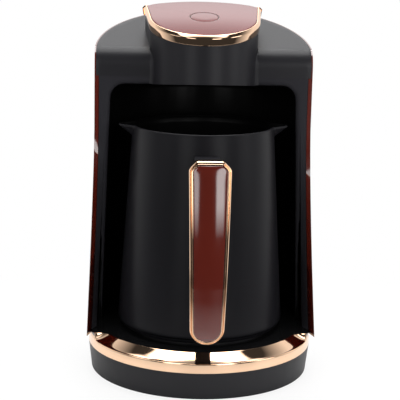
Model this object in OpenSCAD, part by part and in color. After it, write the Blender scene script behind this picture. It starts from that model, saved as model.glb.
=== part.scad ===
// Electric turkish coffee maker with a lift-out pot.
// Millimetres. +Z up, front towards -Y, origin on the pot's axis at table level.

/* [Base] */
// Radius of the base at its widest
base_r = 70; // [62:0.5:78]
// How much narrower the base is at the table
base_draft = 1.9; // [0:0.1:6]
// Height of the top edge of the base cup
base_h = 17; // [14:0.5:22]
// Wall of the base cup
base_wall = 2.5; // [1.6:0.1:4]
// Clear height of the base cup over the table
base_lift = 0.6; // [0.3:0.1:1.2]
// Thickness of the rubber foot ring
foot_t = 1.6; // [1.2:0.1:2.4]

/* [Trim ring] */
// Height of the upright band of the gold ring
band_h = 5.8; // [4:0.1:8]
// Height of the tray above the table
tray_z = 27; // [25:0.5:32]
// Width of the gold slope round the front of the tray
slope_w = 8.8; // [6:0.2:14]
// How far the gold stands up over the tray
gold_up = 0.7; // [0:0.1:0.8]

/* [Housing] */
// How much wider the housing is at its foot than over its upper part
house_flare = 3.4; // [0:0.1:5]
// How far the foot of the housing stands out over the base
shell_over = 0.6; // [0:0.1:2]
// Height at which the walls become upright
flare_z = 150; // [120:1:165]
// How far the rear centre of the housing lies behind the pot's axis
rear_y = 8; // [2:0.5:20]
// Thickness of the glossy outer shell
shell_t = 2.5; // [1.6:0.1:4]
// Height of the bottom edge of the outer shell
shell_z = 25; // [24:0.1:26]
// Wall of the black front frame
frame_t = 3; // [2:0.1:4]
// Distance from the pot's axis back to the front face of the arch
arch_y = 4; // [0:0.5:8]
// How far the side wings sweep forward at their foot
wing_sweep = 28; // [15:0.5:34]
// Length of the soft toe where the frame meets the tray
toe = 8; // [3:0.5:10]
// Height of the shoulder at the front of the top
deck_z = 198; // [194:0.5:206]
// Slope of the shoulders
top_tilt = 16.8; // [8:0.1:20]
// Radius of the rounded front edge of the shoulders
deck_fillet = 12; // [4.5:0.5:14]

/* [Bay] */
// Height of the bay's ceiling
bay_z = 178; // [172:0.5:180]
// Width of the black cheeks beside the bay, at the ceiling
cheek_w = 9.7; // [8:0.1:12]
// How much wider the bay is at the tray
bay_flare = 4.7; // [0:0.1:5]
// Radius of the bay's upper corners
bay_corner = 9; // [5:0.5:14]
// Wall of the bay's liner
liner_t = 2.2; // [1.2:0.1:2.4]

/* [Head] */
// Radius of the head's round front
head_r = 33.7; // [30:0.1:36]
// Distance from the pot's axis back to the centre of that round front
head_y = 16; // [12:0.5:20]
// Angle at which the head's sides open towards the back
head_angle = 5.7; // [0:0.1:8]
// Distance from the pot's axis back to the rear wall of the head
head_back = 49; // [44:0.5:54]
// Radius of the head's rear corners
head_corner = 4; // [2:0.5:8]
// Radius of the arc across the back of the head
head_back_r = 72; // [60:1:300]
// Wall of the head
head_wall = 2.5; // [1.6:0.1:3]
// Slope of the cap
cap_tilt = 13.8; // [8:0.1:18]
// Height of the gold band
band_w = 6.4; // [5:0.1:9]
// How far the gold band stands out from the head
band_out = 1.2; // [0.4:0.1:2]
// Width of the gold rim round the cap panel, inside the head's outline
rim_in = 0.9; // [0.6:0.1:2]
// Bevel of the gold band's upper edge
band_bevel = 1.6; // [0.5:0.1:1.7]
// Height of the cap's plane at the button
cap_z = 218; // [215:0.2:224]
// Distance from the pot's axis back to the button
button_y = 14; // [8:0.5:20]
// Radius of the start button
button_r = 8.5; // [6:0.1:10]
// Travel of the start button
button_travel = 1.2; // [0.6:0.1:1.3]

/* [Pot] */
// Clearance beside the pot in the bay, at the ceiling
pot_gap = 6; // [4:0.25:10]
// How much narrower the pot is at its rim
pot_taper = 8; // [4:0.25:11]
// Height of the pot
pot_h = 126.4; // [110:0.2:134]
// Rounding of the pot's bottom edge
pot_round = 6; // [3:0.5:9]
// Wall of the pot's outer body
pot_wall = 2.2; // [1.6:0.1:3]
// Thickness of the coated lining inside the pot
lining_t = 1; // [0.6:0.1:1.2]
// How far the pouring lips stand out from the rim
lip_out = 9.9; // [5:0.1:11]
// Height of a lip where it meets the pot's wall
lip_h = 5; // [3:0.5:12]
// Height of the rolled rim
rim_h = 0.8; // [0.5:0.1:1.5]

/* [Handle] */
// Height of the handle's top above the table
handle_top = 146; // [138:0.5:150]
// Height of the handle's lower tip above the table
handle_low = 39; // [34:0.5:46]
// Width of the handle near the top
handle_w = 24; // [18:0.5:30]
// Width of the handle near its lower tip
handle_low_w = 20; // [14:0.5:26]
// Distance from the pot's axis to the handle's front, half way up
handle_reach = 90; // [82:0.5:98]
// Radius of the handle's bow
handle_bow = 300; // [200:10:600]
// Depth of the gold frame, front to back
handle_frame_t = 8; // [6:0.5:12]
// Depth of the black grip behind the frame
grip_t = 6; // [4:0.5:9]
// Width of the gold border round the inlay
border_w = 2.7; // [1.8:0.1:4]
// Width of the bracket between pot and handle
bracket_w = 15; // [10:0.5:18]

/* [Hidden] */
$fn = 96;
fit = 0.2;           // clearance between fixed pieces
skin = 0.2;          // thickness of a slice used in a hull
far = 120;           // beyond any outline
steps = 8;           // straight steps in a swept line
ring_steps = 72;     // points along half of the gold ring

// base
tray_r = base_r - slope_w;
ear_y = wing_sweep - arch_y;          // the gold ends here, at the tips of the wings
ear_soft = 2.5;                       // softness of the corner between tray and ear
tray_gap = 0.15;                      // between tray and gold
foot_r = base_r - base_draft;
cover_z = foot_t;
cover_t = 2.4;
ledge_z = cover_z + cover_t + fit;
ledge_t = 1.8;
ledge_w = 6;
cover_r = foot_r - base_wall - 0.3;
foot_out_r = cover_r - 1.5;
foot_in_r = foot_out_r - 4.5;
trim_wall_r = base_r - 3;
tray_t = 3;
tray_skirt = 2.5;
slope_p = 0.85;                       // how the gold's slope is arched
tray_skirt_z = base_h + 1.5;
screw_r = 1.5;
screw_head_r = 2.9;
screw_head_h = 1.8;
post_r = 4;
post_at = foot_r - base_wall - ledge_w - post_r - 0.5;
post_a = 35;
cover_screws = [for (s = [-1, 1]) for (back = [0, 1])
    [s * post_at * cos(post_a), back * rear_y + (2 * back - 1) * post_at * sin(post_a)]];

// cord inlet and terminals
inlet_r = 4.6;
inlet_bore_r = 3.3;
inlet_z = 10.5;
inlet_flange_r = 6.2;
inlet_flange_t = 1.8;
inlet_collar_r = 5.7;
inlet_collar_t = 3;
inlet_length = 13;
inlet_face_y = rear_y + base_r + inlet_flange_t;
terminal_w = 24;
terminal_d = 10;
terminal_h = 9;
terminal_y = base_r - 26;
terminal_z = cover_z + cover_t + 0.1;
vent_w = 3;
vent_l = 24;
vent_step = 9;

// heating plate
house_half = base_r + shell_over - house_flare;
bay_half = house_half - cheek_w;
pot_r = bay_half - pot_gap;
plate_r = pot_r - 5.5;
plate_up = 1;
plate_z = tray_z + plate_up;          // the pot stands here
flange_r = plate_r + 7;
flange_t = 2;
flange_z = tray_z - tray_t - fit - flange_t;
plate_screw_r = plate_r + 4;
plate_screw_a = [30:120:270];
element_r = plate_r - 16;
element_wire_r = 3.2;
thermostat_r = 8;
fuse_r = 2;
fuse_l = 16;
fuse_y = -(thermostat_r + element_r - element_wire_r) / 2;   // between thermostat and element
element_z = flange_z - element_wire_r - 0.1;

// housing
wing_z = flare_z;
flare_p = 1.4;                        // how the walls curve outwards
sweep_p = 1.25;                       // how the wings curve forwards
frame_z = tray_z + fit;
frame_in = shell_t + fit;
liner_y = arch_y + frame_t + fit;
liner_r = bay_half + liner_t;
ceiling_t = 2.2;
house_top = 260;
house_reach = 60;
deck_rise = tan(top_tilt);

// foam sensor over the pot
window_r = 8;
window_y = 25;

// head
head_drop = 7.1;                      // slope of the head's underside
cap_rise = tan(cap_tilt);
panel_t = 2;
panel_in = 0.3;                       // the panel lies this far below the gold rim
ring_w = 0.6;
ring_gap = 0.25;
ring_r = button_r + ring_gap;
base_plate_t = 2;
base_plate_z = -panel_in - panel_t - 0.1;
board_t = 1.6;
board_z = -8;
switch_h = 1.8;
plunger_r = 1.6;
plunger_h = 1.75;
stem_r = 4;
stem_z = board_z + 0.25 + button_travel + plunger_h;

// power board in the head
power_z = bay_z + ceiling_t + 4;
power_half = 21;
transformer_w = 20;
transformer_d = 18;
transformer_h = 13;
relay_w = 12;
relay_d = 15;
relay_h = 12;
power_y0 = 2;
power_y1 = 40;
wire_r = 1.4;
wire_x = 14;
wire_gap = wire_r + 0.4;              // from the liner's wall to the wire's middle
wire_y = liner_y + sqrt(pow(liner_r + bay_flare + wire_gap, 2) - wire_x * wire_x);
wire_top_y = liner_y + sqrt(pow(liner_r + wire_gap, 2) - wire_x * wire_x);

// pot
pot_rim_r = pot_r - pot_taper;
pot_z = plate_z;
pot_top = pot_z + pot_h;
pot_low_z = pot_z + pot_round;
disc_r = pot_r - 9.5;
disc_t = 3;
lining_in = pot_wall + fit;
lip_reach = pot_rim_r + lip_out;
lip_tip_r = 4.5;
lip_root_r = 17;
lip_root_x = pot_rim_r - 13.5;
lip_low_r = 6;
lip_low_x = pot_rim_r - lip_low_r - 0.6;
lip_low_z = pot_top - lip_h - 3;

// handle
handle_mid = (handle_top + handle_low) / 2;
handle_low_r = handle_low_w / 2;
handle_corner = 7;
handle_c = handle_bow - handle_reach;  // centre of the bow behind the pot's axis
inlay_t = 2.7;
inlay_fit = 0.1;
grip_in = 1;
back_r = handle_bow - handle_frame_t - grip_t - 0.3;
bracket_root = -pot_rim_r + 13.5;     // inside the pot's wall, which cuts the bracket
bracket_knee = -handle_reach + 22;
bracket_top_h = 14;
bracket_top_drop = 34;
bracket_low_h = 12;
bracket_low_rise = 22;

// ---------- outlines and helpers ----------

// half width of the housing at a height
function house_at(z) =
    house_half + (z < flare_z ? house_flare * pow((flare_z - z) / (flare_z - shell_z), flare_p) : 0);

// half width of the bay at a height
function bay_at(z) = bay_half + bay_flare * (bay_z - z) / (bay_z - tray_z);

// height of the shoulder plane, lowered by an inset
function deck_at(y, inset) = deck_z + (y - arch_y) * deck_rise - inset / cos(top_tilt);

// height of the cap's plane and of the gold band's lower edge
function cap_at(y) = cap_z + (y - button_y) * cap_rise;
function band_at(y) = cap_at(y) - band_w;

// radius of the pot at a height, inset by d
function pot_at(z, d) =
    pot_r - d + (pot_rim_r - pot_r) * (z - pot_low_z) / (pot_top - pot_low_z);

// points up the housing's wall
function wall_line(inset, z0) = concat(
    [for (i = [0:steps]) let (z = z0 + (flare_z - z0) * i / steps) [house_at(z) - inset, z]],
    [[house_half - inset, house_top]]);

function flipped(points) = [for (i = [len(points) - 1:-1:0]) [-points[i][0], points[i][1]]];

// plan of the base: two circles joined by straight sides
module stadium(r) {
    circle(r = r);
    translate([0, rear_y]) circle(r = r);
    translate([-r, 0]) square([2 * r, rear_y]);
}

// a section swept round the base's plan
module base_sweep(section) {
    rotate([0, 0, 180]) rotate_extrude(angle = 180) polygon(section);
    translate([0, rear_y, 0]) rotate_extrude(angle = 180) polygon(section);
    translate([0, rear_y, 0]) rotate([90, 0, 0]) linear_extrude(rear_y) {
        polygon(section);
        polygon(flipped(section));
    }
}

// solid inside the housing's wall, open to the front
module house_solid(inset, z0) {
    wall = wall_line(inset, z0);
    translate([0, rear_y, 0]) {
        rotate_extrude(angle = 180) polygon(concat([[0, z0]], wall, [[0, house_top]]));
        rotate([90, 0, 0]) linear_extrude(house_reach) polygon(concat(wall, flipped(wall)));
    }
}

// drawing in the Y-Z plane pulled along X
module across(width) {
    translate([-width / 2, 0, 0]) rotate([90, 0, 90]) linear_extrude(width) children();
}

// drawing in the X-Z plane pulled from y0 to y1
module along(y0, y1) {
    translate([0, y1, 0]) rotate([90, 0, 0]) linear_extrude(y1 - y0) children();
}

// side view of the housing under the shoulders and their rounded front edge
module house_side(inset) {
    r = deck_fillet - inset;
    y = arch_y + inset;
    z = deck_at(y, inset) - r * tan((90 - top_tilt) / 2);
    across(2 * far) polygon(concat(
        [[-house_reach, 0], [-house_reach, wing_z], [y, wing_z]],
        [for (i = [0:steps]) let (a = 180 - (90 - top_tilt) * i / steps)
            [y + r + r * cos(a), z + r * sin(a)]],
        [[far, deck_at(far, inset)], [far, 0]]));
}

// everything in front of the frame's face: wings that sweep forward, with a toe at the tray
module front_space(toe_len, shift) {
    toe_h = toe + 2;
    levels = concat([0, tray_z],
        [for (i = [1:4]) tray_z + toe_h * i / 4],
        [for (i = [1:steps]) tray_z + toe_h + (wing_z - tray_z - toe_h) * i / steps],
        [house_top]);
    rings = [for (level = levels) let (
            z = min(max(level, tray_z), wing_z),
            out = pow((wing_z - z) / (wing_z - tray_z), sweep_p) * wing_sweep,
            foot = pow(max(0, 1 - (z - tray_z) / toe_h), 2) * toe_len,
            inner = arch_y + shift - foot,
            outer = arch_y + shift - out,
            w = house_at(z),
            b = bay_at(z),
            front = [[-far, outer], [-w, outer], [-b, inner], [b, inner], [w, outer], [far, outer]])
        concat([for (i = [len(front) - 1:-1:0]) [front[i][0], front[i][1], level]],
            [for (p = front) [p[0], -far, level]])];
    loft(rings);
}

// solid through a stack of rings of points, each anticlockwise seen from above, from the lowest up
module loft(rings) {
    n = len(rings[0]);
    last = len(rings) - 1;
    half = floor(n / 2);
    polyhedron(
        points = [for (ring = rings) for (p = ring) p],
        faces = concat(
            [for (i = [0:half - 2]) [i, i + 1, n - 2 - i]],
            [for (i = [0:half - 2]) [i, n - 2 - i, n - 1 - i]],
            [for (i = [0:half - 2]) let (m = last * n) [m + n - 2 - i, m + i + 1, m + i]],
            [for (i = [0:half - 2]) let (m = last * n) [m + n - 1 - i, m + n - 2 - i, m + i]],
            [for (k = [0:last - 1]) for (i = [0:n - 1]) let (j = (i + 1) % n)
                [k * n + i, (k + 1) * n + i, (k + 1) * n + j]],
            [for (k = [0:last - 1]) for (i = [0:n - 1]) let (j = (i + 1) % n)
                [k * n + i, (k + 1) * n + j, k * n + j]]));
}

// front view of the bay, grown by d
module bay_outline(d) {
    top = bay_half + d;
    foot = bay_half + bay_flare + d;
    r = bay_corner + d;
    polygon([[-foot, tray_z], [foot, tray_z], [top, bay_z - bay_corner], [-top, bay_z - bay_corner]]);
    for (s = [-1, 1]) translate([s * (top - r), bay_z - bay_corner]) circle(r = r);
    translate([-(top - r), bay_z - bay_corner]) square([2 * (top - r), r]);
}

// bay as a solid: straight at the front, round at the back
module bay_solid(d) {
    along(liner_y - 1, liner_y) bay_outline(d);
    translate([0, liner_y, 0]) rotate_extrude(angle = 180) intersection() {
        bay_outline(d);
        square([far, house_top]);
    }
}

// plan of the head, grown by d
module head_plan(d) {
    r = head_r + d;
    side_x = r * cos(head_angle);
    side_y = head_y - r * sin(head_angle);
    c = max(head_corner + d, 0.5);
    back_y = head_back + d - c;
    back_x = side_x + (back_y - side_y) * tan(head_angle);
    intersection() {
        union() {
            translate([0, head_y]) circle(r = r);
            polygon([[-side_x, side_y], [side_x, side_y], [back_x, back_y], [-back_x, back_y]]);
            for (s = [-1, 1]) translate([s * (back_x - c), back_y]) circle(r = c);
            translate([c - back_x, back_y - 1]) square([2 * (back_x - c), c + 1]);
        }
        translate([0, head_back + d - head_back_r]) circle(r = head_back_r);
    }
}

module head_column(d) {
    translate([0, 0, bay_z - 20]) linear_extrude(80) head_plan(d);
}

// slice of the head parallel to the cap, between two depths under the cap's plane
module cap_slice(d, z0, z1) {
    intersection() {
        head_column(d);
        on_cap() translate([-far / 2, -far / 2, z0]) cube([far, far, z1 - z0]);
    }
}

// frame on the cap's plane at the button
module on_cap() {
    translate([0, button_y, cap_z]) rotate([cap_tilt, 0, 0]) children();
}

module screw(length) {
    cylinder(r = screw_r, h = length, $fn = 24);
    translate([0, 0, -screw_head_h]) difference() {
        cylinder(r = screw_head_r, h = screw_head_h, $fn = 32);
        for (a = [0, 90]) rotate([0, 0, a]) translate([-2, -0.4, -1]) cube([4, 0.8, 1.9]);
    }
}

function unit(v) = v / norm(v);

// rings of a round tube along a path that never runs along X
function tube_rings(path, r, sides = 8) =
    [for (i = [0:len(path) - 1]) let (
            d = unit(path[min(i + 1, len(path) - 1)] - path[max(i - 1, 0)]),
            u = unit(cross(d, [1, 0, 0])),
            v = cross(d, u))
        [for (k = [0:sides - 1]) let (a = 360 * k / sides) path[i] + r * (cos(a) * u + sin(a) * v)]];

// ---------- base ----------

module base_cup() {
    color("#2b2b2d") difference() {
        base_sweep([[foot_r, base_lift], [base_r, base_h],
            [base_r - base_wall, base_h],
            [foot_r - base_wall + 1, ledge_z + ledge_t],
            [foot_r - base_wall - ledge_w, ledge_z + ledge_t],
            [foot_r - base_wall - ledge_w, ledge_z],
            [foot_r - base_wall, ledge_z],
            [foot_r - base_wall, base_lift]]);
        inlet_place() {
            translate([0, 0, -20]) cylinder(r = inlet_r + fit, h = 40);
            translate([0, 0, -inlet_length - 1])
                cylinder(r = inlet_collar_r + fit, h = inlet_collar_t + 2);
        }
    }
}

module bottom_cover() {
    color("#1d1d1f") difference() {
        translate([0, 0, cover_z]) linear_extrude(cover_t) stadium(cover_r);
        for (p = cover_screws) translate([p[0], p[1], 0]) {
            cylinder(r = screw_r + 0.2, h = 10);
            translate([0, 0, cover_z - 1]) cylinder(r = screw_head_r + 0.3, h = screw_head_h + 1.1);
        }
        for (k = [-3:3]) translate([k * vent_step - vent_w / 2, -vent_l / 2, 0])
            cube([vent_w, vent_l, 10]);
    }
}

module foot_ring() {
    color("#111112") linear_extrude(foot_t) difference() {
        stadium(foot_out_r);
        stadium(foot_in_r);
    }
}

module bottom_screws() {
    color("silver") for (p = cover_screws)
        translate([p[0], p[1], cover_z + screw_head_h]) screw(14);
}

module trim_ring() {
    fold_z = base_h + band_h;
    color("#e8b48c") difference() {
        loft(concat([raise(ring_points(1, base_r), base_h)],
            [for (share = [1, 0.78, 0.55, 0.28, 0]) raise(ring_points(share, base_r),
                fold_z + (tray_z + gold_up - fold_z) * pow(1 - share, slope_p))]));
        linear_extrude(far) polygon(ring_points(0, trim_wall_r));
        translate([0, 0, shell_z - fit]) {
            linear_extrude(far) polygon(ring_points(0, base_r - tray_gap));
            translate([-far, -ear_y, 0]) cube([2 * far, 2 * far, far]);
        }
    }
}

function raise(points, z) = [for (p = points) [p[0], p[1], z]];

// radius of the tray's edge at an angle, inset by a gap: round in front, out to the wings' tips
function tray_edge(a, gap) = let (
        ear = (ear_y - gap) / max(-sin(a), 0.01),
        disc = tray_r - gap)
    min(base_r, (ear + disc + sqrt(pow(ear - disc, 2) + ear_soft * ear_soft)) / 2);

// outline of the tray, or a share of the way from it out to the base's outline
function ring_points(share, inside, gap = 0) = concat(
    [for (i = [0:ring_steps]) let (a = 180 + 180 * i / ring_steps,
            edge = tray_edge(a, gap),
            r = min(inside, edge + (base_r - edge) * share))
        [r * cos(a), r * sin(a)]],
    [for (i = [0:ring_steps]) let (a = 180 * i / ring_steps)
        [inside * cos(a), rear_y + inside * sin(a)]]);

module tray_deck() {
    color("#232325") difference() {
        union() {
            difference() {
                translate([0, 0, tray_skirt_z]) linear_extrude(tray_z - tray_skirt_z)
                    polygon(ring_points(0, trim_wall_r - tray_gap, tray_gap));
                translate([0, 0, tray_skirt_z - 1]) linear_extrude(tray_z - tray_t - tray_skirt_z + 1)
                    polygon(ring_points(0, trim_wall_r - tray_skirt, tray_skirt));
            }
            intersection() {
                translate([0, 0, shell_z]) linear_extrude(tray_z - shell_z)
                    polygon(ring_points(0, base_r - tray_gap, tray_gap));
                house_solid(frame_in, base_h);
            }
            for (p = cover_screws) translate([p[0], p[1], ledge_z])
                cylinder(r = post_r, h = tray_z - tray_t - ledge_z + 1);
        }
        cylinder(r = plate_r + fit, h = far);
        for (p = cover_screws) translate([p[0], p[1], 0])
            cylinder(r = screw_r + 0.05, h = tray_z - tray_t);
        for (a = plate_screw_a) rotate([0, 0, a]) translate([plate_screw_r, 0, 0])
            cylinder(r = screw_r + 0.05, h = tray_z - 0.6);
        translate([wire_x, wire_y, 0]) cylinder(r = wire_r + 0.6, h = far);
    }
}

module heating_plate() {
    color("#6d6e72") difference() {
        union() {
            translate([0, 0, flange_z]) cylinder(r = flange_r, h = flange_t);
            translate([0, 0, flange_z]) cylinder(r = plate_r, h = plate_z - flange_z);
        }
        for (a = plate_screw_a) rotate([0, 0, a]) translate([plate_screw_r, 0, 0])
            cylinder(r = screw_r + fit, h = far);
        for (p = cover_screws) translate([p[0], p[1], 0]) cylinder(r = post_r + 0.5, h = far);
    }
}

module plate_screws() {
    color("silver") for (a = plate_screw_a) rotate([0, 0, a])
        translate([plate_screw_r, 0, flange_z]) screw(tray_z - flange_z - 1.2);
}

module heating_element() {
    color("#8f8f90") {
        translate([0, 0, element_z]) rotate([0, 0, 135]) rotate_extrude(angle = 270)
            translate([element_r, 0]) circle(r = element_wire_r);
        for (a = [45, 135]) rotate([0, 0, a]) translate([element_r, 0, element_z - 6.5])
            cylinder(r = 1.6, h = 6.5);
    }
}

module thermostat() {
    color("#c9c2b0") translate([0, 0, flange_z - 0.1 - 6]) {
        cylinder(r = thermostat_r, h = 6);
        for (s = [-1, 1]) translate([s * (thermostat_r + 2) - 4, -2, 2]) cube([8, 4, 0.8]);
    }
}

module thermal_fuse() {
    color("#e0ddd2") translate([-fuse_l / 2, fuse_y, flange_z - fuse_r - 0.2])
        rotate([0, 90, 0]) cylinder(r = fuse_r, h = fuse_l);
}

module terminal_block() {
    color("#d8d8d2") translate([-terminal_w / 2, terminal_y, terminal_z]) difference() {
        cube([terminal_w, terminal_d, terminal_h]);
        for (k = [0:2]) translate([(k + 0.5) * terminal_w / 3, 3, 2]) cylinder(r = 1.9, h = terminal_h);
    }
}

// frame of the cord inlet: +Z points out of the back
module inlet_place() {
    translate([0, inlet_face_y, inlet_z]) rotate([-90, 0, 0]) children();
}

module cord_inlet() {
    color("#161617") inlet_place() difference() {
        union() {
            translate([0, 0, -inlet_length]) cylinder(r = inlet_r, h = inlet_length);
            translate([0, 0, -inlet_flange_t]) cylinder(r = inlet_flange_r, h = inlet_flange_t);
            translate([0, 0, -inlet_length]) cylinder(r = inlet_collar_r, h = inlet_collar_t);
        }
        translate([0, 0, -inlet_length - 1]) cylinder(r = inlet_bore_r, h = inlet_length + 2);
    }
}

// ---------- housing ----------

module outer_shell() {
    color("#6b1d16") difference() {
        intersection() {
            house_solid(0, shell_z);
            house_side(0);
        }
        house_solid(shell_t, shell_z - 1);
        front_space(0, 0);
    }
}

module front_frame() {
    color("#2a2a2c") difference() {
        intersection() {
            house_solid(frame_in, shell_z);
            house_side(0);
        }
        linear_extrude(frame_z) stadium(base_r + fit);
        front_space(toe, 0);
        difference() {
            house_side(frame_t);
            front_space(toe, frame_t);
        }
        along(-far, arch_y + frame_t + 1) bay_outline(0);
        head_column(0.15);
    }
}

module cavity_liner() {
    color("#0d0d0e") difference() {
        union() {
            intersection() {
                bay_solid(liner_t);
                translate([-far, liner_y, frame_z]) cube([2 * far, far, house_top]);
            }
            for (s = [-1, 1]) for (y = [14, 36]) translate([s * 18, y, bay_z + 1])
                cylinder(r = 2.5, h = power_z - bay_z - 1);
        }
        bay_solid(0);
        translate([0, window_y, bay_z - 1]) cylinder(r = window_r + 0.1, h = 10);
    }
}

module sensor_window() {
    color("#3a0f12") translate([0, window_y, bay_z]) cylinder(r = window_r, h = ceiling_t - 0.1);
}

module sensor_board() {
    color("#2d6b3a") translate([0, window_y, bay_z + ceiling_t]) {
        translate([-10, -9, 0]) cube([20, 18, board_t]);
        translate([-2.5, -2.5, 0]) cube([5, 5, 3]);
    }
}

// ---------- head ----------

// side view of the head: underside, step over the liner and the plane under the gold band
module head_side() {
    floor_y = liner_y - fit;
    drop = tan(head_drop);
    across(far) polygon([
        [-far / 2, bay_z + (arch_y + far / 2) * drop],
        [arch_y, bay_z], [floor_y, bay_z],
        [floor_y, bay_z + ceiling_t + fit], [far, bay_z + ceiling_t + fit],
        [far, band_at(far)], [-far / 2, band_at(-far / 2)]]);
}

module head_shell() {
    color("#262628") difference() {
        intersection() {
            head_column(0);
            head_side();
        }
        head_column(-head_wall);
        translate([wire_x, head_back, power_z + 5]) rotate([90, 0, 0])
            cylinder(r = wire_r + 0.6, h = 10, center = true);
    }
}

module head_floor() {
    floor_t = 2;
    floor_y = liner_y - fit;
    drop = tan(head_drop);
    low = bay_z + (arch_y + far / 2) * drop;
    color("#151516") intersection() {
        head_column(-head_wall - 0.15);
        across(far) polygon([[-far / 2, low], [arch_y, bay_z], [floor_y, bay_z],
            [floor_y, bay_z + floor_t], [arch_y, bay_z + floor_t], [-far / 2, low + floor_t]]);
    }
}

module cap_trim() {
    color("#e8b48c") difference() {
        loft([
            [for (p = head_points(0.3)) [p[0], p[1], band_at(p[1]) + 0.03]],
            [for (p = head_points(band_out)) [p[0], p[1], band_at(p[1]) + 0.8]],
            [for (p = head_points(band_out)) [p[0], p[1], cap_at(p[1]) - band_bevel]],
            [for (p = head_points(band_out - band_bevel)) [p[0], p[1], cap_at(p[1])]]]);
        translate([0, 0, bay_z]) linear_extrude(80) polygon(head_points(-rim_in));
    }
}

// outline of the head as points, anticlockwise from the middle of the front
function head_points(d) = let (
        r = head_r + d,
        c = max(head_corner + d, 0.5),
        back_y = head_back + d - c,
        back_x = r * cos(head_angle)
            + (back_y - head_y + r * sin(head_angle)) * tan(head_angle) - c,
        half = concat(
            [for (i = [0:3 * steps]) let (a = -90 + (90 - head_angle) * i / (3 * steps))
                [r * cos(a), head_y + r * sin(a)]],
            [for (i = [0:steps]) let (a = -head_angle + (90 + head_angle) * i / steps)
                [back_x + c * cos(a), back_y + c * sin(a)]],
            [for (i = [1:steps]) [back_x * (1 - i / steps), head_back + d]]))
    [for (p = concat(half, [for (i = [len(half) - 2:-1:1]) [-half[i][0], half[i][1]]]))
        [p[0], min(p[1], head_back + d - head_back_r + sqrt(pow(head_back_r, 2) - p[0] * p[0]))]];

module cap_base() {
    color("#1a1a1b") difference() {
        union() {
            cap_slice(-rim_in - 0.15, base_plate_z - base_plate_t, base_plate_z);
            for (s = [-1, 1]) for (y = [-16, 20]) on_cap() translate([s * 16, y, board_z])
                cylinder(r = 2.2, h = base_plate_z - board_z - 1);
        }
        on_cap() translate([0, 0, board_z - 1]) cylinder(r = ring_r + ring_w + 0.15, h = 12);
    }
}

module cap_panel() {
    color("#7a2018") difference() {
        cap_slice(-rim_in - 0.1, -panel_in - panel_t, -panel_in);
        on_cap() translate([0, 0, -6]) cylinder(r = ring_r + ring_w + 0.05, h = 12);
    }
}

module light_ring() {
    color("#f2e6df") on_cap() difference() {
        translate([0, 0, board_z]) cylinder(r = ring_r + ring_w, h = -panel_in - board_z);
        translate([0, 0, board_z - 1]) cylinder(r = ring_r, h = 12);
    }
}

module control_board() {
    color("#2d6b3a") cap_slice(-8, board_z - board_t, board_z);
}

module tact_switch() {
    color("#3c3c40") on_cap() translate([0, 0, board_z]) difference() {
        translate([-3, -3, 0]) cube([6, 6, switch_h]);
        translate([0, 0, 0.1]) cylinder(r = plunger_r + 0.15, h = 4);
    }
}

module start_button() {
    color("#7a2018") on_cap() {
        translate([0, 0, -panel_in - panel_t]) cylinder(r = button_r, h = panel_t);
        translate([0, 0, stem_z]) cylinder(r = stem_r, h = -panel_in - stem_z - 0.5);
    }
}

module switch_plunger() {
    color("#d9d9d9") on_cap() translate([0, 0, stem_z - plunger_h])
        cylinder(r = plunger_r, h = plunger_h);
}

module power_board() {
    color("#2d6b3a") translate([-power_half, power_y0, power_z])
        cube([2 * power_half, power_y1 - power_y0, board_t]);
}

module transformer() {
    color("#d2b24a") translate([transformer_w / 2 - power_half - 8, 14, power_z + board_t]) {
        cube([transformer_w, transformer_d, 3]);
        translate([2, 2, 3]) cube([transformer_w - 4, transformer_d - 4, transformer_h - 3]);
    }
}

module relay() {
    color("#2f4f8a") translate([4, 16, power_z + board_t]) cube([relay_w, relay_d, relay_h]);
}

module buzzer() {
    color("#17171a") on_cap() translate([16, 4, board_z - board_t - 5]) difference() {
        cylinder(r = 6, h = 5);
        translate([0, 0, -1]) cylinder(r = 1, h = 3);
    }
}

module wiring_harness() {
    top_z = power_z + 5;
    low_z = 15;
    bend = 4;
    in_y = power_y1 - 4;
    start_y = terminal_y + 5;
    element_xy = element_r * cos(45);
    block_z = terminal_z + terminal_h + wire_r;
    rise = [[8, start_y, block_z], [11, start_y + 10, block_z], [wire_x, wire_y - bend, low_z - 1],
        [wire_x, wire_y - 1, low_z + 1], [wire_x, wire_y, low_z + bend],
        [wire_x, wire_y, tray_z + 1], [wire_x, wire_top_y, top_z - bend],
        [wire_x, wire_top_y - 1, top_z - 1], [wire_x, wire_top_y - bend, top_z],
        [wire_x, in_y + bend, top_z], [wire_x, in_y + 1, top_z - 1], [wire_x, in_y, top_z - bend],
        [wire_x, in_y, power_z + board_t + 0.1]];
    color("#b03a2e") {
        loft(tube_rings(rise, wire_r));
        for (s = [-1, 1]) loft(tube_rings([[s * 5, start_y, block_z],
            [s * 9, start_y - 8, block_z + 1],
            [s * element_xy, element_xy, element_z - 8.5]], wire_r));
    }
}

// ---------- pot ----------

// pot as a solid, inset by d, from its floor to a height
module pot_body(d, floor_z, top_z) {
    r = pot_round;
    low = max(pot_low_z, floor_z + r);
    rotate_extrude() polygon(concat(
        [[0, floor_z]],
        [for (i = [0:steps]) let (a = 90 * i / steps)
            [pot_at(low, d) - r + r * sin(a), low - (low - floor_z) * cos(a)]],
        [[pot_at(top_z, d), top_z], [0, top_z]]));
}

// pouring lips on both sides, inset by d
module pot_lips(d, up) {
    for (s = [0, 180]) rotate([0, 0, s]) hull() {
        translate([lip_reach - lip_tip_r, 0, pot_top - rim_h - skin])
            cylinder(r = lip_tip_r - d, h = skin + up, $fn = 32);
        translate([lip_root_x, 0, pot_top - rim_h - skin])
            cylinder(r = lip_root_r - d, h = skin + up, $fn = 32);
        translate([lip_low_x, 0, lip_low_z]) sphere(r = lip_low_r - d, $fn = 24);
    }
}

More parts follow.
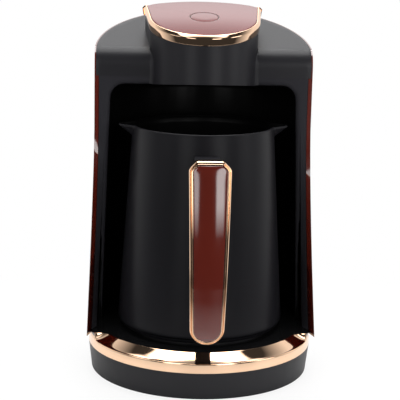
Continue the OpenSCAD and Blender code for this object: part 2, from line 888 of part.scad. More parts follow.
// two circles on the X axis joined by their tangents
module teardrop(x0, r0, x1, r1) {
    s = (r0 - r1) / (x1 - x0);
    c = sqrt(1 - s * s);
    translate([x0, 0]) circle(r = r0);
    translate([x1, 0]) circle(r = r1);
    polygon([[x0 + r0 * s, r0 * c], [x1 + r1 * s, r1 * c],
        [x1 + r1 * s, -r1 * c], [x0 + r0 * s, -r0 * c]]);
}

// plan of the rim with its lips
module rim_plan(d) {
    circle(r = pot_at(pot_top, d));
    for (s = [0, 180]) rotate(s)
        teardrop(lip_root_x, lip_root_r - d, lip_reach - lip_tip_r, lip_tip_r - d);
}

module pot_shell() {
    color("#2c2c2e") difference() {
        union() {
            pot_body(0, pot_z, pot_top - rim_h);
            pot_lips(0, 0);
        }
        pot_body(pot_wall, pot_z + disc_t, pot_top + 1);
        pot_lips(pot_wall, 2);
        cylinder(r = disc_r + fit, h = far);
    }
}

module pot_liner() {
    color("#242426") {
        difference() {
            union() {
                pot_body(lining_in, pot_z + disc_t + fit, pot_top - rim_h);
                pot_lips(lining_in, 0);
            }
            pot_body(lining_in + lining_t, pot_z + disc_t + fit + lining_t, pot_top + 1);
            pot_lips(lining_in + lining_t, 2);
        }
        translate([0, 0, pot_top - rim_h]) linear_extrude(rim_h) difference() {
            rim_plan(-0.3);
            rim_plan(lining_in + lining_t);
        }
    }
}

module pot_base_disc() {
    color("#9a9ca0") translate([0, 0, pot_z]) cylinder(r = disc_r, h = disc_t);
}

// front view of the handle, inset by d
module handle_outline(d) {
    low = handle_low + handle_low_r;
    high = handle_top - handle_corner;
    translate([0, low]) circle(r = handle_low_r - d);
    polygon([[-handle_low_r + d, low], [handle_low_r - d, low],
        [handle_w / 2 - d, high], [-handle_w / 2 + d, high]]);
    for (s = [-1, 1]) translate([s * (handle_w / 2 - handle_corner), high])
        circle(r = handle_corner - d);
    translate([-(handle_w / 2 - handle_corner), high])
        square([handle_w - 2 * handle_corner, handle_corner - d]);
}

// curved slab behind the handle's bow, from a depth and as thick as given
module handle_slab(depth, thick) {
    across(far) translate([handle_c, handle_mid]) difference() {
        circle(r = handle_bow - depth, $fn = 200);
        circle(r = handle_bow - depth - thick, $fn = 200);
    }
}

module handle_piece(inset, depth, thick) {
    intersection() {
        along(-handle_reach - 5, -handle_reach + 40) handle_outline(inset);
        handle_slab(depth, thick);
    }
}

module handle_frame() {
    color("#e8b48c") difference() {
        handle_piece(0, 0, handle_frame_t);
        handle_piece(border_w, -1, inlay_t + 1.4);
    }
}

module handle_inlay() {
    color("#6b1d16") handle_piece(border_w + inlay_fit, 0.2, inlay_t);
}

module handle_grip() {
    color("#1c1c1d") handle_piece(grip_in, handle_frame_t + 0.1, grip_t);
}

// bracket from the pot's wall to the grip, drawn as its side view
module bracket(width, side) {
    difference() {
        intersection() {
            across(width) polygon(side);
            across(far) translate([handle_c, handle_mid]) circle(r = back_r, $fn = 200);
        }
        pot_body(-0.15, pot_z - 5, pot_top + 20);
    }
}

module handle_bracket_top() {
    high = handle_top - 4;
    color("#1c1c1d") bracket(bracket_w, [[-handle_reach, high], [bracket_root, high],
        [bracket_root, high - bracket_top_h], [bracket_knee + 10, high - bracket_top_h - 3],
        [bracket_knee, high - (bracket_top_h + bracket_top_drop) / 2],
        [-handle_reach, high - bracket_top_drop]]);
}

module handle_bracket_low() {
    low = handle_low + 9;
    color("#1c1c1d") bracket(bracket_w - 3, [[-handle_reach, low + bracket_low_rise],
        [bracket_knee, low + bracket_low_h + 2], [bracket_root, low + bracket_low_h],
        [bracket_root, low], [-handle_reach, low]]);
}

base_cup();
bottom_cover();
foot_ring();
bottom_screws();
trim_ring();
tray_deck();
heating_plate();
plate_screws();
heating_element();
thermostat();
thermal_fuse();
terminal_block();
cord_inlet();
outer_shell();
front_frame();
cavity_liner();
sensor_window();
sensor_board();
head_shell();
head_floor();
cap_trim();
cap_base();
cap_panel();
light_ring();
control_board();
tact_switch();
power_board();
transformer();
relay();
buzzer();
wiring_harness();
start_button();
switch_plunger();
pot_shell();
pot_liner();
pot_base_disc();
handle_frame();
handle_inlay();
handle_grip();
handle_bracket_top();
handle_bracket_low();
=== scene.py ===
"""Looks of an electric coffee maker with a lift-out pot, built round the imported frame."""

from __future__ import annotations

import logging
from dataclasses import dataclass, field
from enum import Enum
from math import asin, atan2, cos, dist, hypot, pi, radians, sin, sqrt, tan
from typing import Any, Optional, Sequence

import bmesh
import bpy
from mathutils import Matrix, Vector


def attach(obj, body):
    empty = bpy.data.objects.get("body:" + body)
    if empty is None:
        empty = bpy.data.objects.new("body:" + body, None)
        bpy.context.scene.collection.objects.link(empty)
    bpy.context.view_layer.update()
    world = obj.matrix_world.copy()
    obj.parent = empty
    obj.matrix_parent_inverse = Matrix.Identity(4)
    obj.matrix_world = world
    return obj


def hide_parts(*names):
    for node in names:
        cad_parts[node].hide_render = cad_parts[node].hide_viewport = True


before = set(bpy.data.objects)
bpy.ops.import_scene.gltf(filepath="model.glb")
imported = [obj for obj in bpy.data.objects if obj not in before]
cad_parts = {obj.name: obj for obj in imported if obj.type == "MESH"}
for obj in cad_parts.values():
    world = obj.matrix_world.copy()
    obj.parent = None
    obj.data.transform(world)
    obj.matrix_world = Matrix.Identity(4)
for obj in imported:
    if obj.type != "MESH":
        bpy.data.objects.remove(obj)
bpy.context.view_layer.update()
LOG = logging.getLogger("coffee_maker")
Point = tuple[float, float, float]
Flat = tuple[float, float]
Colour = tuple[float, float, float, float]
Material = bpy.types.Material
Piece = bpy.types.Object

MM = 0.001
# Nearer points are joined and smaller faces taken out (metres); flatter edges are dissolved (radians).
SKIN_JOIN, SKIN_SPECK = 1e-6, 1e-7
CAD_JOIN, CAD_SPECK, CAD_FLAT = 2e-6, 1e-6, radians(0.6)
# Angles in degrees above which an edge shows as sharp, on a skin and on a CAD copy, or is rounded.
SHARP, HARD, ROUNDED = 35.0, 50.0, 30.0
# Most of a side that the rounding of one corner may take, and the length that counts as none.
EASED_SHARE, NO_GAP = 0.45, 1e-9


# ---------------------------------------------------------------- shader graphs


class Signal:
    """A shader socket that can be used in arithmetic."""

    def __init__(self, graph: "Graph", socket: Any) -> None:
        """Keeps the graph and the output socket."""
        self.graph = graph
        self.socket = socket

    def _math(self, operation: str, *values: Any) -> "Signal":
        """Result of a Math node on numbers or signals, in order."""
        return self.graph.add("ShaderNodeMath", {"operation": operation}, dict(enumerate(values)))

    def __add__(self, other: Any) -> "Signal":
        """self + other."""
        return self._math("ADD", self, other)

    __radd__ = __add__

    def __sub__(self, other: Any) -> "Signal":
        """self - other."""
        return self._math("SUBTRACT", self, other)

    def __rsub__(self, other: Any) -> "Signal":
        """other - self."""
        return self._math("SUBTRACT", other, self)

    def __mul__(self, other: Any) -> "Signal":
        """self * other."""
        return self._math("MULTIPLY", self, other)

    __rmul__ = __mul__

    def __abs__(self) -> "Signal":
        """Size of self."""
        return self._math("ABSOLUTE", self)

    def clamped(self) -> "Signal":
        """self held between 0 and 1."""
        return self.graph.add("ShaderNodeClamp", {}, {0: self})

    def about(self, middle: float, width: float) -> "Signal":
        """Values between 0 and 1 moved to lie round a middle, as far apart as a width."""
        return (self - 0.5) * width + middle

    def ramp(self, start: float, slope: float) -> "Signal":
        """Straight line from 0 at the start up to 1; with a negative slope it lies below the start."""
        return ((self - start) * slope).clamped()

    def edged(self, share: float) -> "Signal":
        """Rises from 0 at the values 0 and 1 to full strength a share further in."""
        return ((0.5 - abs(self - 0.5)) * (1.0 / share)).clamped()


class Graph:
    """Node graph of a material, a lamp or the world."""

    def __init__(self, tree: Any) -> None:
        """Takes a node tree and empties it."""
        self.tree = tree
        tree.nodes.clear()

    def add(self, kind: str, settings: dict[str, Any], inputs: dict[Any, Any], output: Any = 0) -> Signal:
        """Adds any node.

        Args:
            kind: the node's type.
            settings: attributes that are set before the sockets.
            inputs: values or signals by socket name or number.
            output: name or number of the output wanted.

        Returns:
            The chosen output, which is empty for a node without outputs.
        """
        node = self.tree.nodes.new(kind)
        for key, value in settings.items():
            setattr(node, key, value)
        for key, value in inputs.items():
            if isinstance(value, Signal):
                self.tree.links.new(value.socket, node.inputs[key])
            else:
                node.inputs[key].default_value = value
        return Signal(self, node.outputs[output] if len(node.outputs) else None)

    def place(self, scale: Point) -> Signal:
        """Object-space position in metres, scaled along each axis."""
        where = self.add("ShaderNodeTexCoord", {}, {}, "Object")
        return self.add("ShaderNodeMapping", {}, {"Vector": where, "Scale": scale})

    def noise(self, per_metre: float, detail: float, stretch: Point = (1.0, 1.0, 1.0)) -> Signal:
        """Noise between 0 and 1, from cells per metre, octaves of detail and a stretch along each axis."""
        where = self.place(tuple(per_metre * s for s in stretch))
        return self.add("ShaderNodeTexNoise", {}, {"Vector": where, "Scale": 1.0, "Detail": detail})

    def blend(self, mask: Any, first: Any, second: Any) -> Signal:
        """Colour mix of first and second by a mask."""
        return self.add("ShaderNodeMix", {"data_type": "RGBA"}, {"Factor": mask, 6: first, 7: second}, 2)

    def bump(self, height: Signal, depth: float) -> Signal:
        """Normal bent by a height between 0 and 1 that stands for a depth in metres."""
        return self.add("ShaderNodeBump", {}, {"Height": height, "Distance": depth, "Strength": 1.0})

    def parts(self, first: Signal) -> dict[str, Signal]:
        """All outputs of a signal's node by name."""
        return {out.name: Signal(self, out) for out in first.socket.node.outputs}


def rgb(red: float, green: float, blue: float) -> Colour:
    """Opaque linear colour."""
    return (red, green, blue, 1.0)


def shaded(colour: Colour, factor: float) -> Colour:
    """The colour, lighter or darker by a factor."""
    return (colour[0] * factor, colour[1] * factor, colour[2] * factor, 1.0)


def new_material(name: str) -> tuple[Material, Graph]:
    """Makes an empty material.

    Args:
        name: its name.

    Returns:
        The material and its graph.
    """
    material = bpy.data.materials.new(name)
    material.use_nodes = True
    return material, Graph(material.node_tree)


# ---------------------------------------------------------------- finishes


@dataclass(frozen=True)
class Paint:
    """Common ground of the finishes. Patterns are sized in cells per metre, depths in metres."""

    name: str
    colour: Colour

    def sockets(self, graph: Graph) -> dict[str, Any]:
        """Values and links for the Principled shader; each finish gives its own."""
        raise NotImplementedError

    def make(self) -> Material:
        """Builds the material.

        Returns:
            The material.
        """
        material, graph = new_material(self.name)
        shader = graph.add("ShaderNodeBsdfPrincipled", {}, self.sockets(graph))
        graph.add("ShaderNodeOutputMaterial", {}, {"Surface": shader})
        return material


@dataclass(frozen=True)
class Moulded(Paint):
    """Moulded plastic with a fine spark-eroded grain."""

    roughness: float = 0.42
    grain: float = 2600.0
    grain_depth: float = 0.00002
    mottle: float = 0.08
    gloss: float = 0.5
    clouds: float = 38.0
    rubs: float = 9.0

    def sockets(self, graph: Graph) -> dict[str, Any]:
        """Mottled colour, rubbed patches and grain.

        Args:
            graph: the material's graph.

        Returns:
            The shader's sockets.
        """
        cloud = graph.noise(self.clouds, 4.0)
        grain = graph.noise(self.grain, 2.0)
        rub = graph.noise(self.rubs, 5.0)
        dark, light = shaded(self.colour, 1 - self.mottle), shaded(self.colour, 1 + self.mottle)
        return {
            "Base Color": graph.blend(cloud, dark, light),
            "Roughness": rub.about(self.roughness, 0.06) + (grain - 0.5) * 0.05,
            "Specular IOR Level": self.gloss,
            "Normal": graph.bump(grain, self.grain_depth),
        }


@dataclass(frozen=True)
class Lacquer(Paint):
    """High-gloss coloured plastic under a clear coat."""

    deep: Colour
    roughness: float
    coat: float
    gloss: float
    coat_roughness: float = 0.04
    coat_index: float = 1.7
    clouds: float = 22.0
    flecks: float = 5200.0
    dust: float = 900.0
    waves: float = 55.0
    wave_depth: float = 0.00002

    def sockets(self, graph: Graph) -> dict[str, Any]:
        """Deep colour with fine flecks, dusty gloss and slow waves.

        Args:
            graph: the material's graph.

        Returns:
            The shader's sockets.
        """
        cloud = graph.noise(self.clouds, 4.0)
        fleck = graph.noise(self.flecks, 1.0)
        dust = graph.noise(self.dust, 2.0)
        wave = graph.noise(self.waves, 1.0)
        body = graph.blend(cloud, self.colour, self.deep)
        return {
            "Base Color": graph.blend(fleck.ramp(0.62, 1.0) * 0.8, body, shaded(self.colour, 1.5)),
            "Roughness": dust.about(self.roughness, 0.03),
            "Specular IOR Level": self.gloss,
            "Coat Weight": self.coat,
            "Coat Roughness": self.coat_roughness,
            "Coat IOR": self.coat_index,
            "Normal": graph.bump(wave, self.wave_depth),
        }


@dataclass(frozen=True)
class Plating(Paint):
    """Polished metal plating over plastic."""

    warm: Colour
    roughness: float
    clouds: float = 16.0
    smears: float = 120.0
    waves: float = 70.0
    wave_depth: float = 0.00003

    def sockets(self, graph: Graph) -> dict[str, Any]:
        """Two tones of metal, smears and slow waves.

        Args:
            graph: the material's graph.

        Returns:
            The shader's sockets.
        """
        cloud = graph.noise(self.clouds, 3.0)
        smear = graph.noise(self.smears, 4.0)
        wave = graph.noise(self.waves, 1.0)
        return {
            "Base Color": graph.blend(cloud, self.colour, self.warm),
            "Metallic": 1.0,
            "Roughness": smear.about(self.roughness, 0.05),
            "Normal": graph.bump(wave, self.wave_depth),
        }


@dataclass(frozen=True)
class Brushed(Paint):
    """Sheet or turned metal with fine scratches along one direction."""

    roughness: float = 0.28
    stretch: Point = (1.0, 1.0, 30.0)
    lines: float = 260.0
    line_depth: float = 0.00001
    stains: float = 30.0

    def sockets(self, graph: Graph) -> dict[str, Any]:
        """Stained metal with scratches.

        Args:
            graph: the material's graph.

        Returns:
            The shader's sockets.
        """
        lines = graph.noise(self.lines, 3.0, self.stretch)
        stain = graph.noise(self.stains, 4.0)
        return {
            "Base Color": graph.blend(stain, shaded(self.colour, 0.92), shaded(self.colour, 1.06)),
            "Metallic": 1.0,
            "Roughness": lines.about(self.roughness, 0.18),
            "Normal": graph.bump(lines, self.line_depth),
        }


@dataclass(frozen=True)
class Board(Paint):
    """Printed circuit board: solder mask with copper runs under it."""

    roughness: float = 0.35
    runs: float = 260.0
    run_width: float = 0.06
    run_depth: float = 0.00004
    grain: float = 1500.0

    def sockets(self, graph: Graph) -> dict[str, Any]:
        """Solder mask that is lighter and higher over the runs.

        Args:
            graph: the material's graph.

        Returns:
            The shader's sockets.
        """
        black, white = rgb(0.0, 0.0, 0.0), rgb(1.0, 1.0, 1.0)
        runs = graph.add("ShaderNodeTexBrick", {"offset": 0.35}, {
            "Vector": graph.place((self.runs, self.runs, self.runs)), "Scale": 1.0,
            "Mortar Size": self.run_width, "Color1": black, "Color2": black, "Mortar": white}, "Color")
        grain = graph.noise(self.grain, 2.0)
        return {
            "Base Color": graph.blend(runs, self.colour, shaded(self.colour, 1.8)),
            "Roughness": grain.about(self.roughness, 0.1),
            "Normal": graph.bump(runs, self.run_depth),
        }


@dataclass(frozen=True)
class LightGuide(Paint):
    """Frosted clear plastic that would carry the button's light."""

    roughness: float = 0.35
    frost: float = 1800.0
    haze: float = 0.2

    def sockets(self, graph: Graph) -> dict[str, Any]:
        """Frosted, slightly cloudy plastic.

        Args:
            graph: the material's graph.

        Returns:
            The shader's sockets.
        """
        frost = graph.noise(self.frost, 2.0)
        return {
            "Base Color": graph.blend(frost, self.colour, shaded(self.colour, 0.8)),
            "Roughness": frost.about(self.roughness, 0.2),
            "Subsurface Weight": self.haze,
        }


class Finish(Enum):
    """Finishes of the machine."""

    SATIN = Moulded("satin_black", rgb(0.0160, 0.0156, 0.0184), 0.36, gloss=0.20)
    # Copy of the satin black made lighter for the front frame: painted light on the cheeks and wings, which
    # are the same black plastic as the head and shoulders.
    SATIN_PAINTED_LIGHT = Moulded("satin_black_painted_light", rgb(0.0250, 0.0244, 0.0286), 0.42, gloss=0.06)
    SATIN_BASE = Moulded("satin_black_base", rgb(0.0140, 0.0138, 0.0160), 0.42, gloss=0.24)
    TRAY = Moulded("tray_black", rgb(0.0060, 0.0060, 0.0064), 0.20, 2000.0, 0.000006, gloss=0.40)
    # Near-black of the bay's liner and the head's floor: partly their own gloss black, partly painted shade
    # of the deep bay.
    BAY_SHADED = Moulded("bay_black_shaded", rgb(0.0022, 0.0022, 0.0022), 0.30, 1400.0, 0.000006, gloss=0.15)
    POT = Moulded("pot_coat", rgb(0.0085, 0.0083, 0.0102), 0.36, 3400.0, 0.000014, gloss=0.14)
    # Darker copy of the pot's coat for its inside faces: painted shade, since the coat is the same all over.
    POT_INSIDE_SHADE = Moulded("pot_inside_painted_shade", rgb(0.0012, 0.0012, 0.0013), 0.42, 3000.0, 0.000010, gloss=0.10)
    RUBBER = Moulded("rubber", rgb(0.012, 0.012, 0.012), 0.80, 1100.0, 0.00006)
    DARK = Moulded("dark_moulding", rgb(0.03, 0.03, 0.034), 0.50)
    LIGHT = Moulded("light_moulding", rgb(0.60, 0.58, 0.52), 0.45, 1400.0)
    COIL = Moulded("coil_tape", rgb(0.55, 0.38, 0.07), 0.35, 700.0, 0.00004)
    RELAY = Moulded("relay_case", rgb(0.03, 0.10, 0.30), 0.30, 1600.0)
    SLEEVE = Moulded("wire_sleeve", rgb(0.36, 0.04, 0.03), 0.40, 1800.0)
    FILTER = Moulded("sensor_filter", rgb(0.006, 0.0015, 0.0018), 0.10, 800.0, 0.000004)
    WINE = Lacquer("wine_lacquer", rgb(0.105, 0.0105, 0.0045), rgb(0.086, 0.0080, 0.0036), 0.18, 1.0, 0.30)
    CAP = Lacquer("cap_lacquer", rgb(0.150, 0.013, 0.013), rgb(0.125, 0.011, 0.011), 0.20, 0.30, 0.20)
    GOLD = Plating("rose_gold", rgb(0.95, 0.66, 0.45), rgb(0.93, 0.62, 0.42), 0.05)
    STEEL = Brushed("brushed_steel", rgb(0.62, 0.62, 0.63))
    PLATE = Brushed("heater_plate", rgb(0.028, 0.028, 0.030), 0.48, (1.0, 20.0, 1.0))
    SHEATH = Brushed("heater_sheath", rgb(0.26, 0.24, 0.22), 0.45, (6.0, 6.0, 6.0))
    PCB = Board("circuit_board", rgb(0.015, 0.12, 0.04))
    GUIDE = LightGuide("light_guide", rgb(0.16, 0.06, 0.055))


class Paints:
    """Makes each finish once and hands it out."""

    def __init__(self) -> None:
        """Starts with no material made."""
        self._made: dict[Finish, Material] = {}

    def get(self, finish: Finish) -> Material:
        """Finds the material of a finish, and makes it the first time.

        Args:
            finish: the finish.

        Returns:
            Its material.
        """
        if finish not in self._made:
            self._made[finish] = finish.value.make()
        return self._made[finish]

    def dress(self, piece: Piece, finish: Finish) -> None:
        """Gives a piece one finish all over."""
        piece.data.materials.clear()
        piece.data.materials.append(self.get(finish))


# ---------------------------------------------------------------- meshes


def link(name: str, data: Any) -> Piece:
    """Makes an object in the scene.

    Args:
        name: its name.
        data: its mesh, lamp or camera data.

    Returns:
        The object.
    """
    thing = bpy.data.objects.new(name, data)
    bpy.context.scene.collection.objects.link(thing)
    return thing


def smooth(mesh: bpy.types.Mesh, sharp: float) -> None:
    """Smooth shading with edges sharper than an angle in degrees left hard."""
    mesh.polygons.foreach_set("use_smooth", [True] * len(mesh.polygons))
    mesh.set_sharp_from_angle(angle=radians(sharp))


def bake_modifiers(piece: Piece) -> None:
    """Applies every modifier of a piece.

    Args:
        piece: the piece, which gets a new mesh.
    """
    graph = bpy.context.evaluated_depsgraph_get()
    mesh = bpy.data.meshes.new_from_object(piece.evaluated_get(graph))
    old = piece.data
    piece.modifiers.clear()
    piece.data = mesh
    mesh.name = piece.name
    if old.users == 0:
        bpy.data.meshes.remove(old)


def skin(
    name: str,
    rings: Sequence[Sequence[Point]],
    loop: bool = False,
    first: bool = False,
    last: bool = False,
    sharp: float = SHARP,
) -> Piece:
    """Skins closed rings of points, in millimetres, into a piece.

    Args:
        name: name of the piece.
        rings: rings with the same number of points each.
        loop: whether the last ring joins the first.
        first: whether the first ring is closed with a face.
        last: whether the last ring is closed with a face.
        sharp: edges sharper than this many degrees stay hard.

    Returns:
        The new piece.
    """
    count = len(rings[0])
    faces: list[tuple[int, ...]] = []
    for k in range(len(rings) if loop else len(rings) - 1):
        low, high = k * count, (k + 1) % len(rings) * count
        for i in range(count):
            j = (i + 1) % count
            faces.append((low + i, low + j, high + j, high + i))
    if first:
        faces.append(tuple(reversed(range(count))))
    if last:
        faces.append(tuple(range((len(rings) - 1) * count, len(rings) * count)))
    mesh = bpy.data.meshes.new(name)
    mesh.from_pydata([tuple(c * MM for c in p) for ring in rings for p in ring], [], faces)
    shape = bmesh.new()
    shape.from_mesh(mesh)
    bmesh.ops.remove_doubles(shape, verts=shape.verts, dist=SKIN_JOIN)
    bmesh.ops.dissolve_degenerate(shape, dist=SKIN_SPECK, edges=shape.edges)
    bmesh.ops.recalc_face_normals(shape, faces=shape.faces)
    shape.to_mesh(mesh)
    shape.free()
    smooth(mesh, sharp)
    return link(name, mesh)


def eased(points: Sequence[Flat], reach: dict[int, float], steps: int = 5) -> list[Flat]:
    """Rounds chosen corners of a line of points.

    Args:
        points: corners of the line.
        reach: how far from a corner, by its number, the rounding starts.
        steps: steps across a rounding.

    Returns:
        The rounded line; a corner always gives the same number of points.
    """
    line: list[Flat] = []
    for i, here in enumerate(points):
        if i not in reach:
            line.append(here)
            continue
        ends = []
        for other in (points[i - 1], points[(i + 1) % len(points)]):
            gap = dist(here, other)
            share = min(reach[i] / gap, EASED_SHARE) if gap > NO_GAP else 0.0
            ends.append((here[0] + (other[0] - here[0]) * share, here[1] + (other[1] - here[1]) * share))
        for t in span(0.0, 1.0, steps):
            line.append(tuple(
                (1 - t) ** 2 * ends[0][n] + 2 * t * (1 - t) * here[n] + t * t * ends[1][n] for n in (0, 1)))
    return line


def span(start: float, end: float, steps: int) -> list[float]:
    """Evenly spaced values with both ends."""
    return [start + (end - start) * k / steps for k in range(steps + 1)]


def between(start: Flat, end: Flat, steps: int) -> list[Flat]:
    """Evenly spaced points of a straight line without its ends."""
    return list(zip(span(start[0], end[0], steps), span(start[1], end[1], steps)))[1:-1]


def copied(node: str, name: str) -> Piece:
    """Copies a CAD node and joins up its flat faces.

    Args:
        node: name of the CAD node.
        name: name of the copy.

    Returns:
        The new piece.
    """
    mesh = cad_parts[node].data.copy()
    mesh.materials.clear()
    shape = bmesh.new()
    shape.from_mesh(mesh)
    bmesh.ops.remove_doubles(shape, verts=shape.verts, dist=CAD_JOIN)
    bmesh.ops.dissolve_degenerate(shape, dist=CAD_SPECK, edges=shape.edges)
    bmesh.ops.dissolve_limit(shape, angle_limit=CAD_FLAT, verts=shape.verts, edges=shape.edges)
    shape.to_mesh(mesh)
    shape.free()
    if "custom_normal" in mesh.attributes:
        mesh.attributes.remove(mesh.attributes["custom_normal"])
    return link(name, mesh)


def softened(
    node: str,
    width: float,
    segments: int = 3,
    cutter: Optional[Piece] = None,
    weighted: bool = True,
) -> Piece:
    """Copies a CAD node and rounds its hard edges.

    Args:
        node: name of the CAD node.
        width: width of the rounding, in metres.
        segments: steps across it.
        cutter: a closed piece that is cut away first, and then deleted.
        weighted: whether large faces rule the shading.

    Returns:
        The new piece, which replaces the node.
    """
    piece = copied(node, node + "_soft")
    if cutter is not None:
        cut = piece.modifiers.new("cut", "BOOLEAN")
        cut.operation = "DIFFERENCE"
        cut.solver = "EXACT"
        cut.object = cutter
        bake_modifiers(piece)
        bpy.data.objects.remove(cutter)
    bevel = piece.modifiers.new("round", "BEVEL")
    bevel.width = width
    bevel.segments = segments
    bevel.limit_method = "ANGLE"
    bevel.angle_limit = radians(ROUNDED)
    bevel.use_clamp_overlap = True
    if weighted:
        piece.modifiers.new("flat", "WEIGHTED_NORMAL").keep_sharp = True
    else:
        bevel.harden_normals = True
    smooth(piece.data, HARD)
    bake_modifiers(piece)
    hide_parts(node)
    return piece


# ---------------------------------------------------------------- the machine


@dataclass
class Assembly:
    """Common ground of the sub-assemblies. Sizes are in millimetres and radians."""

    paints: Paints
    body: str = "machine"
    made: list[str] = field(default_factory=list)

    def finish(self, piece: Piece, finish: Finish, *nodes: str) -> None:
        """Dresses a new piece and lets it ride.

        Args:
            piece: the piece.
            finish: its finish.
            nodes: the CAD nodes that it stands for.
        """
        self.paints.dress(piece, finish)
        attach(piece, self.body)
        if nodes:
            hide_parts(*nodes)
        self.made.append(piece.name)

    def soft(self, node: str, finish: Finish, width: float, **how: Any) -> None:
        """Rounds a node's edges by a width in metres, dresses it and lets it ride."""
        self.finish(softened(node, width, **how), finish)

    def keep(self, finish: Finish, *nodes: str) -> None:
        """Leaves CAD nodes as they are and gives them a finish.

        Args:
            finish: the finish.
            nodes: names of the nodes.
        """
        for node in nodes:
            self.paints.dress(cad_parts[node], finish)
            self.made.append(node)


@dataclass
class Base(Assembly):
    """Foot, cup, gold ring, tray and heating plate."""

    radius: float = 70.0
    rear: float = 8.0
    wall_radius: float = 67.0
    low: float = 17.0
    fold: float = 22.8
    top: float = 27.7
    seat: float = 24.8
    tray_radius: float = 61.2
    ear: float = 24.0
    ear_soft: float = 8.0
    arch: float = 1.2
    slope_steps: int = 12
    foot_round: float = 0.3
    fold_round: float = 0.7
    edge_round: float = 0.5
    rim_start: float = 0.36
    rim_section: tuple[Flat, ...] = (
        (-0.6, 25.6), (-0.12, 25.6), (-0.12, 26.85), (-0.3, 27.04),
        (-2.0, 27.04), (-7.0, 27.02), (-7.0, 26.4),
    )

    def edge(self, angle: float) -> float:
        """Distance of the tray's edge from the pot's axis.

        Args:
            angle: where round the pot, in radians.

        Returns:
            The distance.
        """
        ear = self.ear / max(-sin(angle), 0.01)
        disc = self.tray_radius
        return min(self.radius, (ear + disc + hypot(ear - disc, self.ear_soft)) / 2)

    def _section(self, angle: float, sloped: bool) -> list[Flat]:
        """Section of the gold ring as radius and height.

        Args:
            angle: where round the ring, in radians.
            sloped: whether the gold slope is there, or only the band under the housing.

        Returns:
            The closed section.
        """
        edge = self.edge(angle) if sloped else self.wall_radius
        inner = min(self.wall_radius, edge)
        rise = [(self.radius + (edge - self.radius) * t,
                 self.fold + (self.top - self.fold) * t ** self.arch if sloped else self.seat)
                for t in span(0.0, 1.0, self.slope_steps)[1:]]
        corners = [(inner, self.low), (self.radius, self.low), (self.radius, self.fold), *rise,
                   (edge, self.seat), (inner, self.seat)]
        return eased(corners, {1: self.foot_round, 2: self.fold_round, 2 + self.slope_steps: self.edge_round})

    def gold_ring(self) -> Piece:
        """Builds the gold ring: a band all round, and a slope up to the tray in front.

        Returns:
            The piece.
        """
        tip = asin(self.ear / self.radius)
        stretches = [
            (span(pi + tip, 2 * pi - tip, 200), 0.0, True),
            (span(-tip, 0.0, 10), 0.0, False),
            (span(0.0, pi, 90), self.rear, False),
            (span(pi, pi + tip, 10), 0.0, False),
        ]
        rings = [[(r * cos(a), shift + r * sin(a), z) for r, z in self._section(a, sloped)]
                 for angles, shift, sloped in stretches for a in angles]
        return skin("gold_ring", rings, loop=True, sharp=40.0)

    def tray_rim(self) -> Piece:
        """Builds the tray's front edge, which meets the gold slope all along.

        Returns:
            The piece.
        """
        rings = []
        for angle in span(pi + self.rim_start, 2 * pi - self.rim_start, 160):
            edge, c, s = self.edge(angle), cos(angle), sin(angle)
            rings.append([((edge + d) * c, (edge + d) * s, z) for d, z in self.rim_section])
        return skin("tray_rim", rings, first=True, last=True, sharp=40.0)

    def build(self) -> None:
        """Builds and dresses the base."""
        self.soft("base_cup", Finish.SATIN_BASE, 0.9 * MM, segments=4)
        self.soft("bottom_cover", Finish.SATIN, 0.3 * MM)
        self.soft("foot_ring", Finish.RUBBER, 0.3 * MM)
        self.finish(self.gold_ring(), Finish.GOLD, "trim_ring")
        self.soft("tray_deck", Finish.TRAY, 0.3 * MM)
        self.finish(self.tray_rim(), Finish.TRAY)
        self.soft("heating_plate", Finish.PLATE, 0.4 * MM)
        self.keep(Finish.STEEL, "bottom_screws", "plate_screws")
        self.keep(Finish.SHEATH, "heating_element")
        self.keep(Finish.LIGHT, "thermostat", "thermal_fuse", "terminal_block")
        self.keep(Finish.RUBBER, "cord_inlet")


@dataclass
class Deck:
    """Sizes that the housing and the head share: the cheeks' face and the sloping deck over it."""

    face: float = 4.0
    height: float = 198.0
    tilt: float = radians(16.8)
    bend: float = 12.0
    bend_share: float = 0.92

    def start(self) -> float:
        """Height at which the cheeks' face begins to bend into the deck."""
        return self.height - self.bend * tan((pi / 2 - self.tilt) / 2)

    def face_at(self, z: float) -> float:
        """Distance of the cheeks' face behind the pot's axis, at a height."""
        rise = min(max(z - self.start(), 0.0), self.bend * self.bend_share)
        return self.face + self.bend - sqrt(self.bend ** 2 - rise ** 2)


